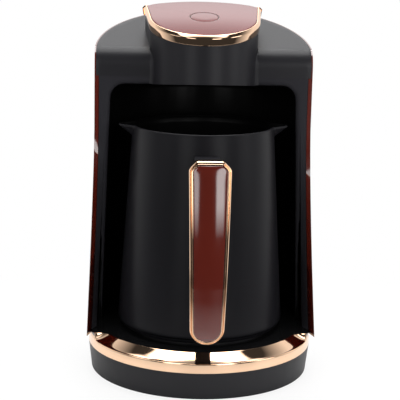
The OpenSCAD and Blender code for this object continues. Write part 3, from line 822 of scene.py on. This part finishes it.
@dataclass
class Housing(Assembly):
    """Wine-red shell, black frame, shoulder covers and the liner of the bay."""

    deck: Deck = field(default_factory=Deck)
    bay_half: float = 57.5
    bay_flare: float = 4.7
    bay_top: float = 178.0
    bay_foot: float = 27.0
    bay_below: float = 8.0
    bay_corner: float = 9.0
    lip: float = 2.8
    # The piece that cuts the rounded edge of the bay.
    skim: float = 0.01
    cut_slack: float = 1.0
    cut_near: float = 4.0
    cut_back: float = 12.0
    cut_front: float = 60.0
    # The shell's round back, and the shoulder covers that end at its rim.
    rear: float = 8.0
    shell_half: float = 67.2
    shell_rim: float = 0.75
    row_gap: float = 0.5
    cover_low: float = 183.0
    cover_in: float = 33.5
    cover_turn: float = 42.0
    cover_slant: float = 6.0
    cover_lift: float = 0.10
    cover_edge: tuple[Flat, ...] = ((0.25, 0.10), (0.07, 0.03), (0.0, -0.12))
    cover_thick: float = 1.6

    def _mouth(self, grow: float, depth: float) -> list[Point]:
        """Outline of the bay's mouth.

        Args:
            grow: how far it is grown.
            depth: its distance behind the pot's axis.

        Returns:
            The outline, from the right foot over the top to the left foot.
        """
        foot = self.bay_half + self.bay_flare + grow
        middle = self.bay_top - self.bay_corner
        reach = self.bay_corner + grow
        right = [(foot, depth, self.bay_foot - self.bay_below), (foot, depth, self.bay_foot)]
        right += [(self.bay_half - self.bay_corner + reach * cos(a), depth, middle + reach * sin(a))
                  for a in span(0.0, pi / 2, 10)]
        return right + [(-x, y, z) for x, y, z in reversed(right)]

    def _cutter(self) -> Piece:
        """Builds the closed piece that rounds the front edge of the bay.

        Returns:
            The piece, which the frame is cut with.
        """
        face = self.deck.face
        rings = [self._mouth(-self.cut_slack, face + self.cut_back),
                 self._mouth(-2 * self.skim, face + self.cut_near)]
        for a in span(0.0, pi / 2, 8):
            rings.append(self._mouth(self.lip * (1 - cos(a)) - self.skim,
                                     face + self.lip * (1 - sin(a))))
        rings.append(self._mouth(self.lip - self.skim, -self.cut_front))
        return skin("mouth", rings, first=True, last=True)

    def _profile(self) -> list[tuple[float, float, float, float]]:
        """Side view of the shoulder from the face to the back.

        Returns:
            y, z and the outward normal's y and z, row by row.
        """
        deck, tilt = self.deck, self.deck.tilt
        face, bend, start = deck.face, deck.bend, deck.start()
        rows = [(face, z, -1.0, 0.0) for z in span(self.cover_low, start, 3)[:-1]]
        for a in span(pi, pi / 2 + tilt, 18):
            c, s = cos(a), sin(a)
            rows.append((face + bend + bend * c, start + bend * s, c, s))
        reach = self.shell_half - self.shell_rim
        for a in span(0.0, pi / 2, 48)[:-1]:
            y = self.rear + reach * sin(a)
            if y > rows[-1][0] + self.row_gap:
                rows.append((y, deck.height + (y - face) * tan(tilt), -sin(tilt), cos(tilt)))
        return rows

    def shoulder(self, side: int) -> Piece:
        """Builds one shoulder: rounded front, sloping deck, and an edge close to the shell's outside.

        Args:
            side: 1 for the right side, -1 for the left.

        Returns:
            The piece.
        """
        reach = self.shell_half - self.shell_rim
        rings = []
        for y, z, ny, nz in self._profile():
            out = sqrt(max(reach ** 2 - max(y - self.rear, 0.0) ** 2, 0.01))
            start = self.cover_in if y < self.cover_turn else max(
                self.cover_in - (y - self.cover_turn) * self.cover_slant, 0.0)
            columns = [(start + (out - start) * k / 10, self.cover_lift) for k in range(10)]
            columns += [(out - back, lift) for back, lift in self.cover_edge]
            ring = [(side * x, y + ny * lift, z + nz * lift) for x, lift in columns]
            ring += [(side * x, y - ny * self.cover_thick, z - nz * self.cover_thick) for x in (out, start)]
            rings.append(ring)
        name = "shoulder_right" if side > 0 else "shoulder_left"
        return skin(name, rings, first=True, last=True, sharp=HARD)

    def build(self) -> None:
        """Builds and dresses the housing."""
        self.soft("outer_shell", Finish.WINE, 1.15 * MM, segments=6)
        # The frame wears the lighter copy of the satin black: painted light on the cheeks and wings.
        self.soft("front_frame", Finish.SATIN_PAINTED_LIGHT, 0.4 * MM, cutter=self._cutter(), weighted=False)
        for side in (1, -1):
            self.finish(self.shoulder(side), Finish.SATIN)
        # The liner is darker than the other black mouldings: partly painted shade.
        self.soft("cavity_liner", Finish.BAY_SHADED, 0.3 * MM)
        self.keep(Finish.FILTER, "sensor_window")
        self.keep(Finish.PCB, "sensor_board")


@dataclass
class Cap:
    """Sizes that the cap's pieces share: its sloping plane and its low crown."""

    middle: float = 14.0
    height: float = 218.0
    tilt: float = radians(13.8)
    crown: float = 1.5
    crown_low: float = 0.35
    crown_at: float = 4.0
    crown_half: float = 31.0
    crown_side: float = 0.35
    button_r: float = 8.5
    ring_r: float = 8.75
    ring_w: float = 0.6

    def plane(self, y: float) -> float:
        """Height of the cap's plane."""
        return self.height + (y - self.middle) * tan(self.tilt)

    def top(self, u: float, v: float, sink: float = 0.0) -> Point:
        """Point on the crowned top.

        Args:
            u: distance to the right of the button's middle.
            v: distance up the slope from it.
            sink: depth under the top.

        Returns:
            The point.
        """
        bow = 1 - ((v - self.crown_at) / self.crown_half) ** 2 - self.crown_side * (u / self.crown_half) ** 2
        w = self.crown * bow - self.crown_low - sink
        s, c = sin(self.tilt), cos(self.tilt)
        return (u, self.middle + v * c - w * s, self.height + v * s + w * c)

    def disc(self, name: str, rows: Sequence[Flat], hollow: bool = False) -> Piece:
        """Builds a round piece on the cap's slope.

        Args:
            name: name of the piece.
            rows: radius and depth under the crowned top, from the middle outwards and down.
            hollow: whether the rows run round a ring's section.

        Returns:
            The piece.
        """
        turn = span(0.0, 2 * pi, 96)[:-1]
        rings = [[self.top(r * cos(a), r * sin(a), sink) for a in turn] for r, sink in rows]
        return skin(name, rings, loop=hollow, first=not hollow, last=not hollow, sharp=45.0)


@dataclass
class Head(Assembly):
    """Round head over the pot with its gold band, cap and the parts inside."""

    cap: Cap = field(default_factory=Cap)
    deck: Deck = field(default_factory=Deck)
    front_r: float = 33.7
    front_y: float = 16.0
    spread: float = radians(5.7)
    back: float = 49.0
    corner: float = 2.6
    back_r: float = 72.0
    band: float = 6.4
    band_out: float = 1.2
    band_drop: float = 2.2
    band_sunk: float = 2.5
    rim_in: float = 0.9
    bevel: float = 1.6
    # Where the panel runs out over the band at the back.
    run_out_behind: float = 16.0
    run_out_half: float = 36.0
    run_out_over: float = 6.0
    panel_out: float = 0.9
    panel_thick: float = 1.8
    panel_edge: tuple[Flat, ...] = ((0.0, 0.45), (0.004, 0.15), (0.012, 0.02))
    guide_top: float = 0.12
    guide_low: float = 7.0
    # The hollow roundings where the head grows out of the cheeks.
    root_r: float = 3.5
    root_low: float = 178.4
    root_below: float = 0.6
    root_fade: float = 5.0
    root_least: float = 0.25
    root_thick: float = 1.5

    def outline(self, grow: float) -> list[Flat]:
        """Plan of the head, anticlockwise from the middle of the front.

        Args:
            grow: how far it is grown.

        Returns:
            The closed outline.
        """
        r, c = self.front_r + grow, max(self.corner + grow, 0.5)
        back = self.back + grow
        slant = back - c - self.front_y + r * sin(self.spread)
        back_x = r * cos(self.spread) + slant * tan(self.spread) - c
        quarter = pi / 2
        half = [(r * cos(a), self.front_y + r * sin(a)) for a in span(-quarter, -self.spread, 60)]
        bend = [(back_x + c * cos(a), back - c + c * sin(a))
                for a in span(-self.spread, quarter, 16)]
        half += between(half[-1], bend[0], 8) + bend
        half += [(back_x * (1 - k / 20), back) for k in range(1, 21)]
        whole = half + [(-x, y) for x, y in reversed(half[1:-1])]
        return [(x, min(y, back - self.back_r + sqrt(self.back_r ** 2 - x * x))) for x, y in whole]

    def _run_out(self, x: float, y: float) -> float:
        """Share by which the panel runs out over the band: 0 in front and beside, 1 at the back.

        Args:
            x: distance to the right of the middle.
            y: distance behind the pot's axis.

        Returns:
            The share.
        """
        if y <= self.front_y + self.run_out_behind:
            return 0.0
        t = min(max((self.run_out_half - abs(x)) / self.run_out_over, 0.0), 1.0)
        return t * t * (3 - 2 * t)

    def trim(self) -> Piece:
        """Builds the gold band round the cap, which sinks under the panel at the back.

        Returns:
            The piece.
        """
        out, low = self.band_out, -self.band
        section = eased(
            [(0.1, low + 0.03), (out - 0.7, low + 0.4), (out, -self.bevel), (out - self.bevel, -0.02),
             (-self.rim_in, -0.02), (-self.rim_in, low + 0.03)],
            {1: 0.5, 2: 0.35, 3: 0.25, 4: 0.2})
        rings = []
        for grow, rise in section:
            drop = self.band_drop if rise > -self.band_sunk else 0.0
            rings.append([(x, y, self.cap.plane(y) + rise - drop * self._run_out(x, y))
                          for x, y in self.outline(grow)])
        return skin("cap_band", rings, loop=True, sharp=30.0)

    def panel(self) -> Piece:
        """Builds the crowned cap panel with the hole for the button.

        Returns:
            The piece.
        """
        cap = self.cap
        rim = []
        for (x0, y0), (x1, y1) in zip(self.outline(-self.rim_in - 0.1), self.outline(self.panel_out)):
            t = self._run_out(x0, y0)
            rim.append((x0 + (x1 - x0) * t, (y0 + (y1 - y0) * t - cap.middle) / cos(cap.tilt)))
        hole = cap.ring_r + cap.ring_w + 0.06
        rows = [(0.0, self.panel_thick), *self.panel_edge, *[(0.02 + 0.96 * k / 16, 0.0) for k in range(17)],
                (1.0, 0.0), (1.0, self.panel_thick)]
        rings = []
        for t, sink in rows:
            ring = []
            for u, v in rim:
                reach = hypot(u, v)
                ring.append(cap.top(u + (u / reach * hole - u) * t, v + (v / reach * hole - v) * t, sink))
            rings.append(ring)
        return skin("cap_top", rings, loop=True, sharp=HARD)

    def root(self, side: int) -> Piece:
        """Builds the hollow rounding where the head grows out of a cheek.

        Args:
            side: 1 for the right side, -1 for the left.

        Returns:
            The piece.
        """
        height = self.deck.height
        rings = []
        for z in span(self.root_low, height - self.root_below, 24):
            r = self.root_r * max(min(1.0, (height - z) / self.root_fade), self.root_least)
            y = self.deck.face_at(z) - r
            x = sqrt((self.front_r + r) ** 2 - (y - self.front_y) ** 2)
            start = atan2(self.front_y - y, -x)
            arc = [(x + r * cos(a), y + r * sin(a)) for a in span(start, pi / 2, 8)]
            arc += [(x, y + r + self.root_thick), (arc[0][0], y + r + self.root_thick)]
            rings.append([(side * px, py, z) for px, py in arc])
        name = "head_root_right" if side > 0 else "head_root_left"
        return skin(name, rings, first=True, last=True, sharp=HARD)

    def light_guide(self) -> Piece:
        """Builds the thin ring of frosted plastic round the button.

        Returns:
            The piece.
        """
        inner, outer = self.cap.ring_r, self.cap.ring_r + self.cap.ring_w
        low, top = self.guide_low, self.guide_top
        rows = [(inner, low), (inner, top), (outer, top), (outer, low)]
        return self.cap.disc("button_light", rows, hollow=True)

    def build(self) -> None:
        """Builds and dresses the head."""
        self.soft("head_shell", Finish.SATIN, 0.4 * MM)
        # The head's floor over the bay takes the same darker black: partly painted shade.
        self.soft("head_floor", Finish.BAY_SHADED, 0.3 * MM)
        self.finish(self.trim(), Finish.GOLD, "cap_trim")
        self.finish(self.panel(), Finish.CAP, "cap_panel")
        for side in (1, -1):
            self.finish(self.root(side), Finish.SATIN)
        self.finish(self.light_guide(), Finish.GUIDE, "light_ring")
        self.keep(Finish.DARK, "cap_base")
        self.keep(Finish.PCB, "control_board", "power_board")
        self.keep(Finish.DARK, "tact_switch", "buzzer")
        self.keep(Finish.COIL, "transformer")
        self.keep(Finish.RELAY, "relay")
        self.keep(Finish.SLEEVE, "wiring_harness")


@dataclass
class Button(Assembly):
    """Start button and the switch plunger under it."""

    body: str = "start_button_body"
    cap: Cap = field(default_factory=Cap)
    thick: float = 3.0
    stem_r: float = 4.0
    stem_low: float = 5.85

    def build(self) -> None:
        """Builds and dresses the button."""
        r = self.cap.button_r
        rows = [(0.4, 0.0), (r * 0.5, 0.0), (r - 0.3, 0.02), (r - 0.1, 0.06), (r, 0.2), (r, self.thick),
                (self.stem_r, self.thick), (self.stem_r, self.stem_low)]
        self.finish(self.cap.disc("button_top", rows), Finish.CAP, "start_button")
        self.keep(Finish.LIGHT, "switch_plunger")


@dataclass
class Pot(Assembly):
    """Lift-out pot with its lips and bowed handle."""

    body: str = "pot"
    radius: float = 51.5
    rim_radius: float = 43.5
    low: float = 28.0
    top: float = 154.4
    foot_round: float = 6.0
    wall: float = 3.4
    roll: float = 0.9
    roll_out: float = 0.3
    disc_r: float = 42.0
    disc_gap: float = 0.2
    disc_rise: float = 0.3
    floor: float = 32.2
    floor_round: float = 5.0
    # Faces further in than this from the outside get the painted shade.
    shade_margin: float = 0.55
    lip_reach: float = 53.4
    lip_tip: float = 4.5
    lip_root: Flat = (30.0, 17.0)
    lip_low: Flat = (36.9, 6.0)
    lip_drop: float = 8.0
    lip_blend: float = 2.0
    lip_crowd: float = 0.6
    handle_top: float = 146.0
    handle_low: float = 39.0
    handle_wide: float = 24.0
    handle_narrow: float = 20.0
    handle_corner: float = 7.0
    corner_cut: float = 0.62
    reach: float = 90.0
    bow: float = 300.0
    border: float = 2.15
    frame_back: float = 8.0
    inlay_gap: float = 0.1
    inlay_thick: float = 2.4
    crown: float = 1.6
    set_back: float = 1.7

    def _wall(self, z: float) -> float:
        """Radius of the pot's wall.

        Args:
            z: height.

        Returns:
            The radius.
        """
        foot = self.low + self.foot_round
        share = (z - foot) / (self.top - foot)
        return self.radius + (self.rim_radius - self.radius) * share

    def _lip(self, angle: float, z: float) -> float:
        """Distance to the lips' outside.

        Args:
            angle: where round the pot, in radians.
            z: height.

        Returns:
            The distance, or 0 where there is no lip.
        """
        share = (z - (self.top - self.lip_drop)) / self.lip_drop
        if share <= 0.0:
            return 0.0
        near = [a + (b - a) * share for a, b in zip(self.lip_low, self.lip_root)]
        tip = (self.lip_reach - self.lip_tip, self.lip_tip)
        far = [a + (b - a) * share for a, b in zip(self.lip_low, tip)]
        best, turn = 0.0, abs(cos(angle))
        for t in span(0.0, 1.0, 24):
            centre, r = near[0] + (far[0] - near[0]) * t, near[1] + (far[1] - near[1]) * t
            inside = r * r - centre * centre * (1 - turn * turn)
            if inside > 0.0:
                best = max(best, centre * turn + sqrt(inside))
        return best

    def _angles(self) -> list[float]:
        """Angles round the pot, closer together at the lips.

        Returns:
            The angles, in radians.
        """
        crowd, even = self.lip_crowd, 1 - self.lip_crowd
        angles = []
        for quarter in range(4):
            for t in span(0.0, 1.0, 44)[:-1]:
                near = t if quarter % 2 == 0 else 1 - t
                near = near * near * crowd + near * even
                angles.append((quarter + (near if quarter % 2 == 0 else 1 - near)) * pi / 2)
        return angles

    def _rows(self) -> list[tuple[float, float, bool]]:
        """Section of the pot: up the outside, over the rolled rim and down the inside to the floor.

        Returns:
            Radius, height and whether the lips stand out there, row by row.
        """
        turn = pi / 2
        lip_low, mouth, bend = self.top - self.lip_drop, self.top - self.roll, self.floor_round
        rows = [(self.disc_r + self.disc_gap, self.low + self.disc_rise, False)]
        rows += [(self.radius - self.foot_round * (1 - sin(a)),
                  self.low + self.foot_round * (1 - cos(a)), False) for a in span(0.0, turn, 10)]
        rows += [(self._wall(z), z, False) for z in span(self.low + self.foot_round, lip_low, 14)[1:]]
        rows += [(self._wall(z), z, True) for z in span(lip_low, mouth, 10)[1:]]
        rows += [(self.rim_radius + self.roll_out - self.roll * (1 - cos(a)),
                  mouth + self.roll * sin(a), True) for a in span(0.0, pi, 8)]
        rows += [(self._wall(z) - self.wall * min(1.0, 0.5 + (self.top - z) / self.lip_drop), z, True)
                 for z in span(self.top - 1.4, lip_low - self.lip_blend, 10)]
        rows += [(self._wall(z) - self.wall, z, False)
                 for z in span(lip_low - self.lip_blend, self.floor + bend, 8)[1:]]
        inner = self._wall(self.floor + bend) - self.wall
        rows += [(inner - bend * (1 - cos(a)), self.floor + bend * (1 - sin(a)), False)
                 for a in span(0.0, turn, 6)[1:]]
        return rows + [(1.0, self.floor, False)]

    def body_shell(self) -> Piece:
        """Builds the pot in one skin and marks the faces of its inside, which get a darker copy of the coat
        as painted shade.

        Returns:
            The piece; its inside has material number 1, the painted shade.
        """
        angles, mouth = self._angles(), self.top - self.roll
        rings = []
        for r, z, lips in self._rows():
            inset = max(self._wall(z) - r, 0.0)
            reach = [max(r, self._lip(a, min(z, mouth)) - inset) if lips else r for a in angles]
            rings.append([(out * cos(a), out * sin(a), z) for out, a in zip(reach, angles)])
        piece = skin("pot_body", rings, last=True, sharp=60.0)
        for face in piece.data.polygons:
            x, y, z = (c / MM for c in face.center)
            out = max(self._wall(z), self._lip(atan2(y, x), min(z, mouth)))
            face.material_index = int(z > self.floor - 0.5 and hypot(x, y) < out - self.shade_margin)
        return piece

    def _outline(self, inset: float) -> list[Flat]:
        """Front view of the handle, anticlockwise from the lowest point.

        Args:
            inset: how far it is shrunk.

        Returns:
            The closed outline.
        """
        low, high = self.handle_low + self.handle_narrow / 2, self.handle_top - self.handle_corner
        r, c = self.handle_narrow / 2 - inset, self.handle_corner - inset
        side = self.handle_wide / 2 - self.handle_corner
        half = [(r * sin(a), low - r * cos(a)) for a in span(0.0, pi / 2, 14)]
        half += between((r, low), (side + c, high), 30)
        cut = c * self.corner_cut
        corner = [(side + c, high), (side + c, high + c - cut), (side + c - cut, high + c), (side, high + c)]
        half += eased(corner, {1: 0.5 * cut, 2: 0.5 * cut})
        half += [(side * (1 - k / 4), high + c) for k in range(1, 5)]
        return half + [(-x, z) for x, z in reversed(half[1:-1])]

    def _on_bow(self, x: float, z: float, depth: float) -> Point:
        """Point of the handle at a depth behind its bow."""
        middle = (self.handle_top + self.handle_low) / 2
        return (x, self.bow - self.reach - sqrt((self.bow - depth) ** 2 - (z - middle) ** 2), z)

    def handle_rim(self) -> Piece:
        """Builds the gold frame: a bead beside the inlay, a groove, an outer edge and a deep side.

        Returns:
            The piece.
        """
        b, s, back = self.border, self.set_back, self.frame_back
        section = eased(
            [(b, s + 2.5), (b, s - 0.15), (b - 0.75, s - 0.25), (b - 1.1, s + 1.2), (0.5, s + 0.45),
             (0.0, s + 1.3), (0.0, back - 0.3), (0.3, back), (b, back)],
            {1: 0.18, 2: 0.3, 3: 0.2, 4: 0.25, 5: 0.3})
        rings = [[self._on_bow(x, z, depth) for x, z in self._outline(inset)] for inset, depth in section]
        return skin("handle_rim", rings, loop=True, sharp=30.0)

    def inlay(self) -> Piece:
        """Builds the crowned wine-red inlay.

        Returns:
            The piece.
        """
        inset = self.border + self.inlay_gap
        low, high = self.handle_low + inset, self.handle_top - inset
        widest = self.handle_wide / 2 - inset
        spine_low, spine_high, fade = low + widest * 0.9, high - widest * 0.6, widest * 0.8
        right = self._outline(inset)
        edge = right[:len(right) // 2 + 1]
        edge += [(-x, z) for x, z in reversed(edge[1:-1])]
        rows = [(1.0, self.inlay_thick), (1.0, 0.25), (0.985, 0.06)]
        rows += [(0.96 * (1 - k / 12), 0.0) for k in range(13)]
        rings = []
        for t, sink in rows:
            ring = []
            for x, z in edge:
                spine = min(max(z, spine_low), spine_high)
                px, pz = x * t, spine + (z - spine) * t
                near_end = max(min(1.0, min(pz - low, high - pz) / fade), 0.0)
                bow = self.crown * (1 - (px / widest) ** 2) * sqrt(near_end * (2 - near_end))
                ring.append(self._on_bow(px, pz, self.set_back - bow + sink))
            rings.append(ring)
        return skin("handle_inlay_crowned", rings, first=True, last=True, sharp=40.0)

    def build(self) -> None:
        """Builds and dresses the pot."""
        pot = self.body_shell()
        inside = [face.material_index for face in pot.data.polygons]
        self.finish(pot, Finish.POT, "pot_shell", "pot_liner")
        # The inside faces get the darker copy of the coat: painted shade.
        pot.data.materials.append(self.paints.get(Finish.POT_INSIDE_SHADE))
        pot.data.polygons.foreach_set("material_index", inside)
        self.soft("pot_base_disc", Finish.PLATE, 0.4 * MM)
        self.finish(self.handle_rim(), Finish.GOLD, "handle_frame")
        self.finish(self.inlay(), Finish.WINE, "handle_inlay")
        self.soft("handle_grip", Finish.SATIN, 1.2 * MM)
        self.soft("handle_bracket_top", Finish.SATIN, 0.8 * MM)
        self.soft("handle_bracket_low", Finish.SATIN, 0.8 * MM)


# ---------------------------------------------------------------- studio


@dataclass(frozen=True)
class SoftBox:
    """One area lamp with soft edges, aimed at a point."""

    name: str
    place: Point
    aim: Point
    size: Flat
    power: float
    edges: Flat = (0.2, 0.2)

    def make(self) -> None:
        """Puts the lamp in the scene."""
        data = bpy.data.lights.new(self.name, "AREA")
        data.shape = "RECTANGLE"
        data.size, data.size_y = self.size
        data.energy = self.power
        data.use_nodes = True
        graph = Graph(data.node_tree)
        where = graph.add("ShaderNodeNewGeometry", {}, {}, "Parametric")
        place = graph.parts(graph.add("ShaderNodeSeparateXYZ", {}, {0: where}))
        strength = place["X"].edged(self.edges[0]) * place["Y"].edged(self.edges[1])
        glow = graph.add("ShaderNodeEmission", {}, {"Strength": strength})
        graph.add("ShaderNodeOutputLight", {}, {"Surface": glow})
        lamp = link(self.name, data)
        lamp.location = self.place
        lamp.rotation_euler = (Vector(self.aim) - Vector(self.place)).to_track_quat("-Z", "Y").to_euler()


@dataclass
class Studio:
    """Camera, lamps, floor and backdrop.

    Sizes are in metres and degrees, the lens and the sensor in millimetres. Each mask of the backdrop
    and the floor is the start and the slope of a ramp.
    """

    distance: float = 0.793
    height: float = 0.275
    azimuth: float = -3.05
    pitch: float = 12.0
    roll: float = 1.2
    shift_right: float = -0.0011
    lens: float = 116.8
    sensor: float = 36.0
    floor_radius: float = 0.26
    floor_rough: float = 0.55
    fill: float = 0.34
    gloom: float = 0.04
    floor_glow: float = 0.86
    backdrop: Flat = (-0.35, 1.6)
    under_ceiling: Flat = (0.80, -5.0)
    far_floor_shade: Flat = (0.11, 9.0)
    floor_fade: Flat = (0.12, 8.0)
    rear_floor: Flat = (-0.04, 8.0)
    pale: Colour = rgb(0.85, 0.85, 0.85)
    white: Colour = rgb(1.0, 1.0, 1.0)
    boxes: tuple[SoftBox, ...] = (
        SoftBox("left_box", (-0.50, -0.93, 0.34), (0.0, 0.0, 0.15), (0.40, 0.84), 3.2),
        SoftBox("right_box", (0.42, -0.96, 0.34), (0.0, 0.0, 0.15), (0.40, 0.84), 4.4),
        SoftBox("left_side", (-0.93, -0.50, 0.40), (0.0, 0.0, 0.15), (0.50, 0.84), 1.6),
        SoftBox("right_side", (0.93, -0.42, 0.40), (0.0, 0.0, 0.15), (0.50, 0.84), 4.0),
        SoftBox("top_box", (0.0, 0.08, 1.15), (0.0, 0.0, 0.0), (1.0, 0.80), 16.0, (0.1, 0.25)),
        SoftBox("high_box", (0.0, 0.58, 1.10), (0.0, 0.0, 0.15), (1.1, 0.32), 8.5, (0.25, 0.3)),
        SoftBox("back_box", (0.0, 1.05, 0.90), (0.0, 0.0, 0.2), (1.3, 0.75), 4.0, (0.3, 0.5)),
    )

    def camera(self) -> None:
        """Places the camera."""
        turn = radians(self.azimuth)
        right = Vector((cos(turn), sin(turn), 0.0))
        back = Vector((sin(turn), -cos(turn), 0.0))
        data = bpy.data.cameras.new("camera")
        data.lens = self.lens
        data.sensor_width = self.sensor
        view = link("camera", data)
        view.location = back * self.distance + Vector((0.0, 0.0, self.height)) + right * self.shift_right
        pitch, roll = radians(90.0 - self.pitch), radians(self.roll)
        view.rotation_euler = (Matrix.Rotation(turn, 4, "Z") @ Matrix.Rotation(pitch, 4, "X")
                               @ Matrix.Rotation(roll, 4, "Z")).to_euler()
        bpy.context.scene.camera = view

    @staticmethod
    def rays(graph: Graph) -> tuple[Signal, Signal]:
        """Two masks: 1 for rays that show a thing itself, and 1 for rays that mirror it."""
        path = graph.parts(graph.add("ShaderNodeLightPath", {}, {}))
        return (path["Is Camera Ray"] + path["Is Transmission Ray"]).clamped(), path["Is Glossy Ray"]

    def world(self) -> None:
        """World that fills softly: white backdrop behind and beside, unlit room in front and above."""
        world = bpy.data.worlds.new("studio")
        bpy.context.scene.world = world
        world.use_nodes = True
        graph = Graph(world.node_tree)
        seen, glossy = self.rays(graph)
        way = graph.add("ShaderNodeTexCoord", {}, {}, "Generated")
        way = graph.parts(graph.add("ShaderNodeSeparateXYZ", {}, {0: way}))
        white = way["Y"].ramp(*self.backdrop) * way["Z"].ramp(*self.under_ceiling)
        mirrored = white * (1 - self.gloom) + self.gloom
        strength = seen + (1 - seen) * (glossy * mirrored + (1 - glossy) * self.fill)
        shader = graph.add("ShaderNodeBackground", {}, {"Color": self.white, "Strength": strength})
        graph.add("ShaderNodeOutputWorld", {}, {"Surface": shader})

    def floor(self) -> None:
        """Pale round floor that keeps the object's shadow and runs out into the white; seen in reflections it
        darkens far out, which is painted shade.
        """
        mesh = bpy.data.meshes.new("floor")
        shape = bmesh.new()
        bmesh.ops.create_circle(shape, cap_ends=True, segments=96, radius=self.floor_radius)
        shape.to_mesh(mesh)
        shape.free()
        material, graph = new_material("floor")
        where = graph.add("ShaderNodeTexCoord", {}, {}, "Object")
        away = graph.add("ShaderNodeVectorMath", {"operation": "LENGTH"}, {0: where}, "Value")
        depth = graph.add("ShaderNodeSeparateXYZ", {}, {0: where}, "Y")
        seen, glossy = self.rays(graph)
        # For glossy rays the floor darkens far out to the room's gloom: painted shade, seen only in
        # reflections.
        far = away.ramp(*self.far_floor_shade) * glossy
        lit = graph.add("ShaderNodeBsdfPrincipled", {}, {
            "Base Color": graph.blend(far, self.pale, shaded(self.pale, self.gloom)),
            "Roughness": self.floor_rough})
        glow = graph.add("ShaderNodeEmission", {}, {"Color": self.white, "Strength": 1.0})
        fade = away.ramp(*self.floor_fade)
        shown = seen * (fade * (1 - self.floor_glow) + self.floor_glow)
        share = shown + glossy * fade * depth.ramp(*self.rear_floor)
        mixed = graph.add("ShaderNodeMixShader", {}, {"Fac": share, 1: lit, 2: glow})
        graph.add("ShaderNodeOutputMaterial", {}, {"Surface": mixed})
        mesh.materials.append(material)
        link("floor", mesh)

    def build(self) -> None:
        """Builds the studio."""
        self.camera()
        self.world()
        self.floor()
        for box in self.boxes:
            box.make()
        bpy.context.scene.view_settings.view_transform = "Standard"


def main() -> None:
    """Builds the machine piece by piece."""
    logging.basicConfig(level=logging.INFO, format="%(message)s")
    Studio().build()
    paints = Paints()
    for part in (Base(paints), Housing(paints), Head(paints), Button(paints), Pot(paints)):
        part.build()
        for name in part.made:
            LOG.info("%s: %s", type(part).__name__, name)


if __name__ == "__main__":
    main()
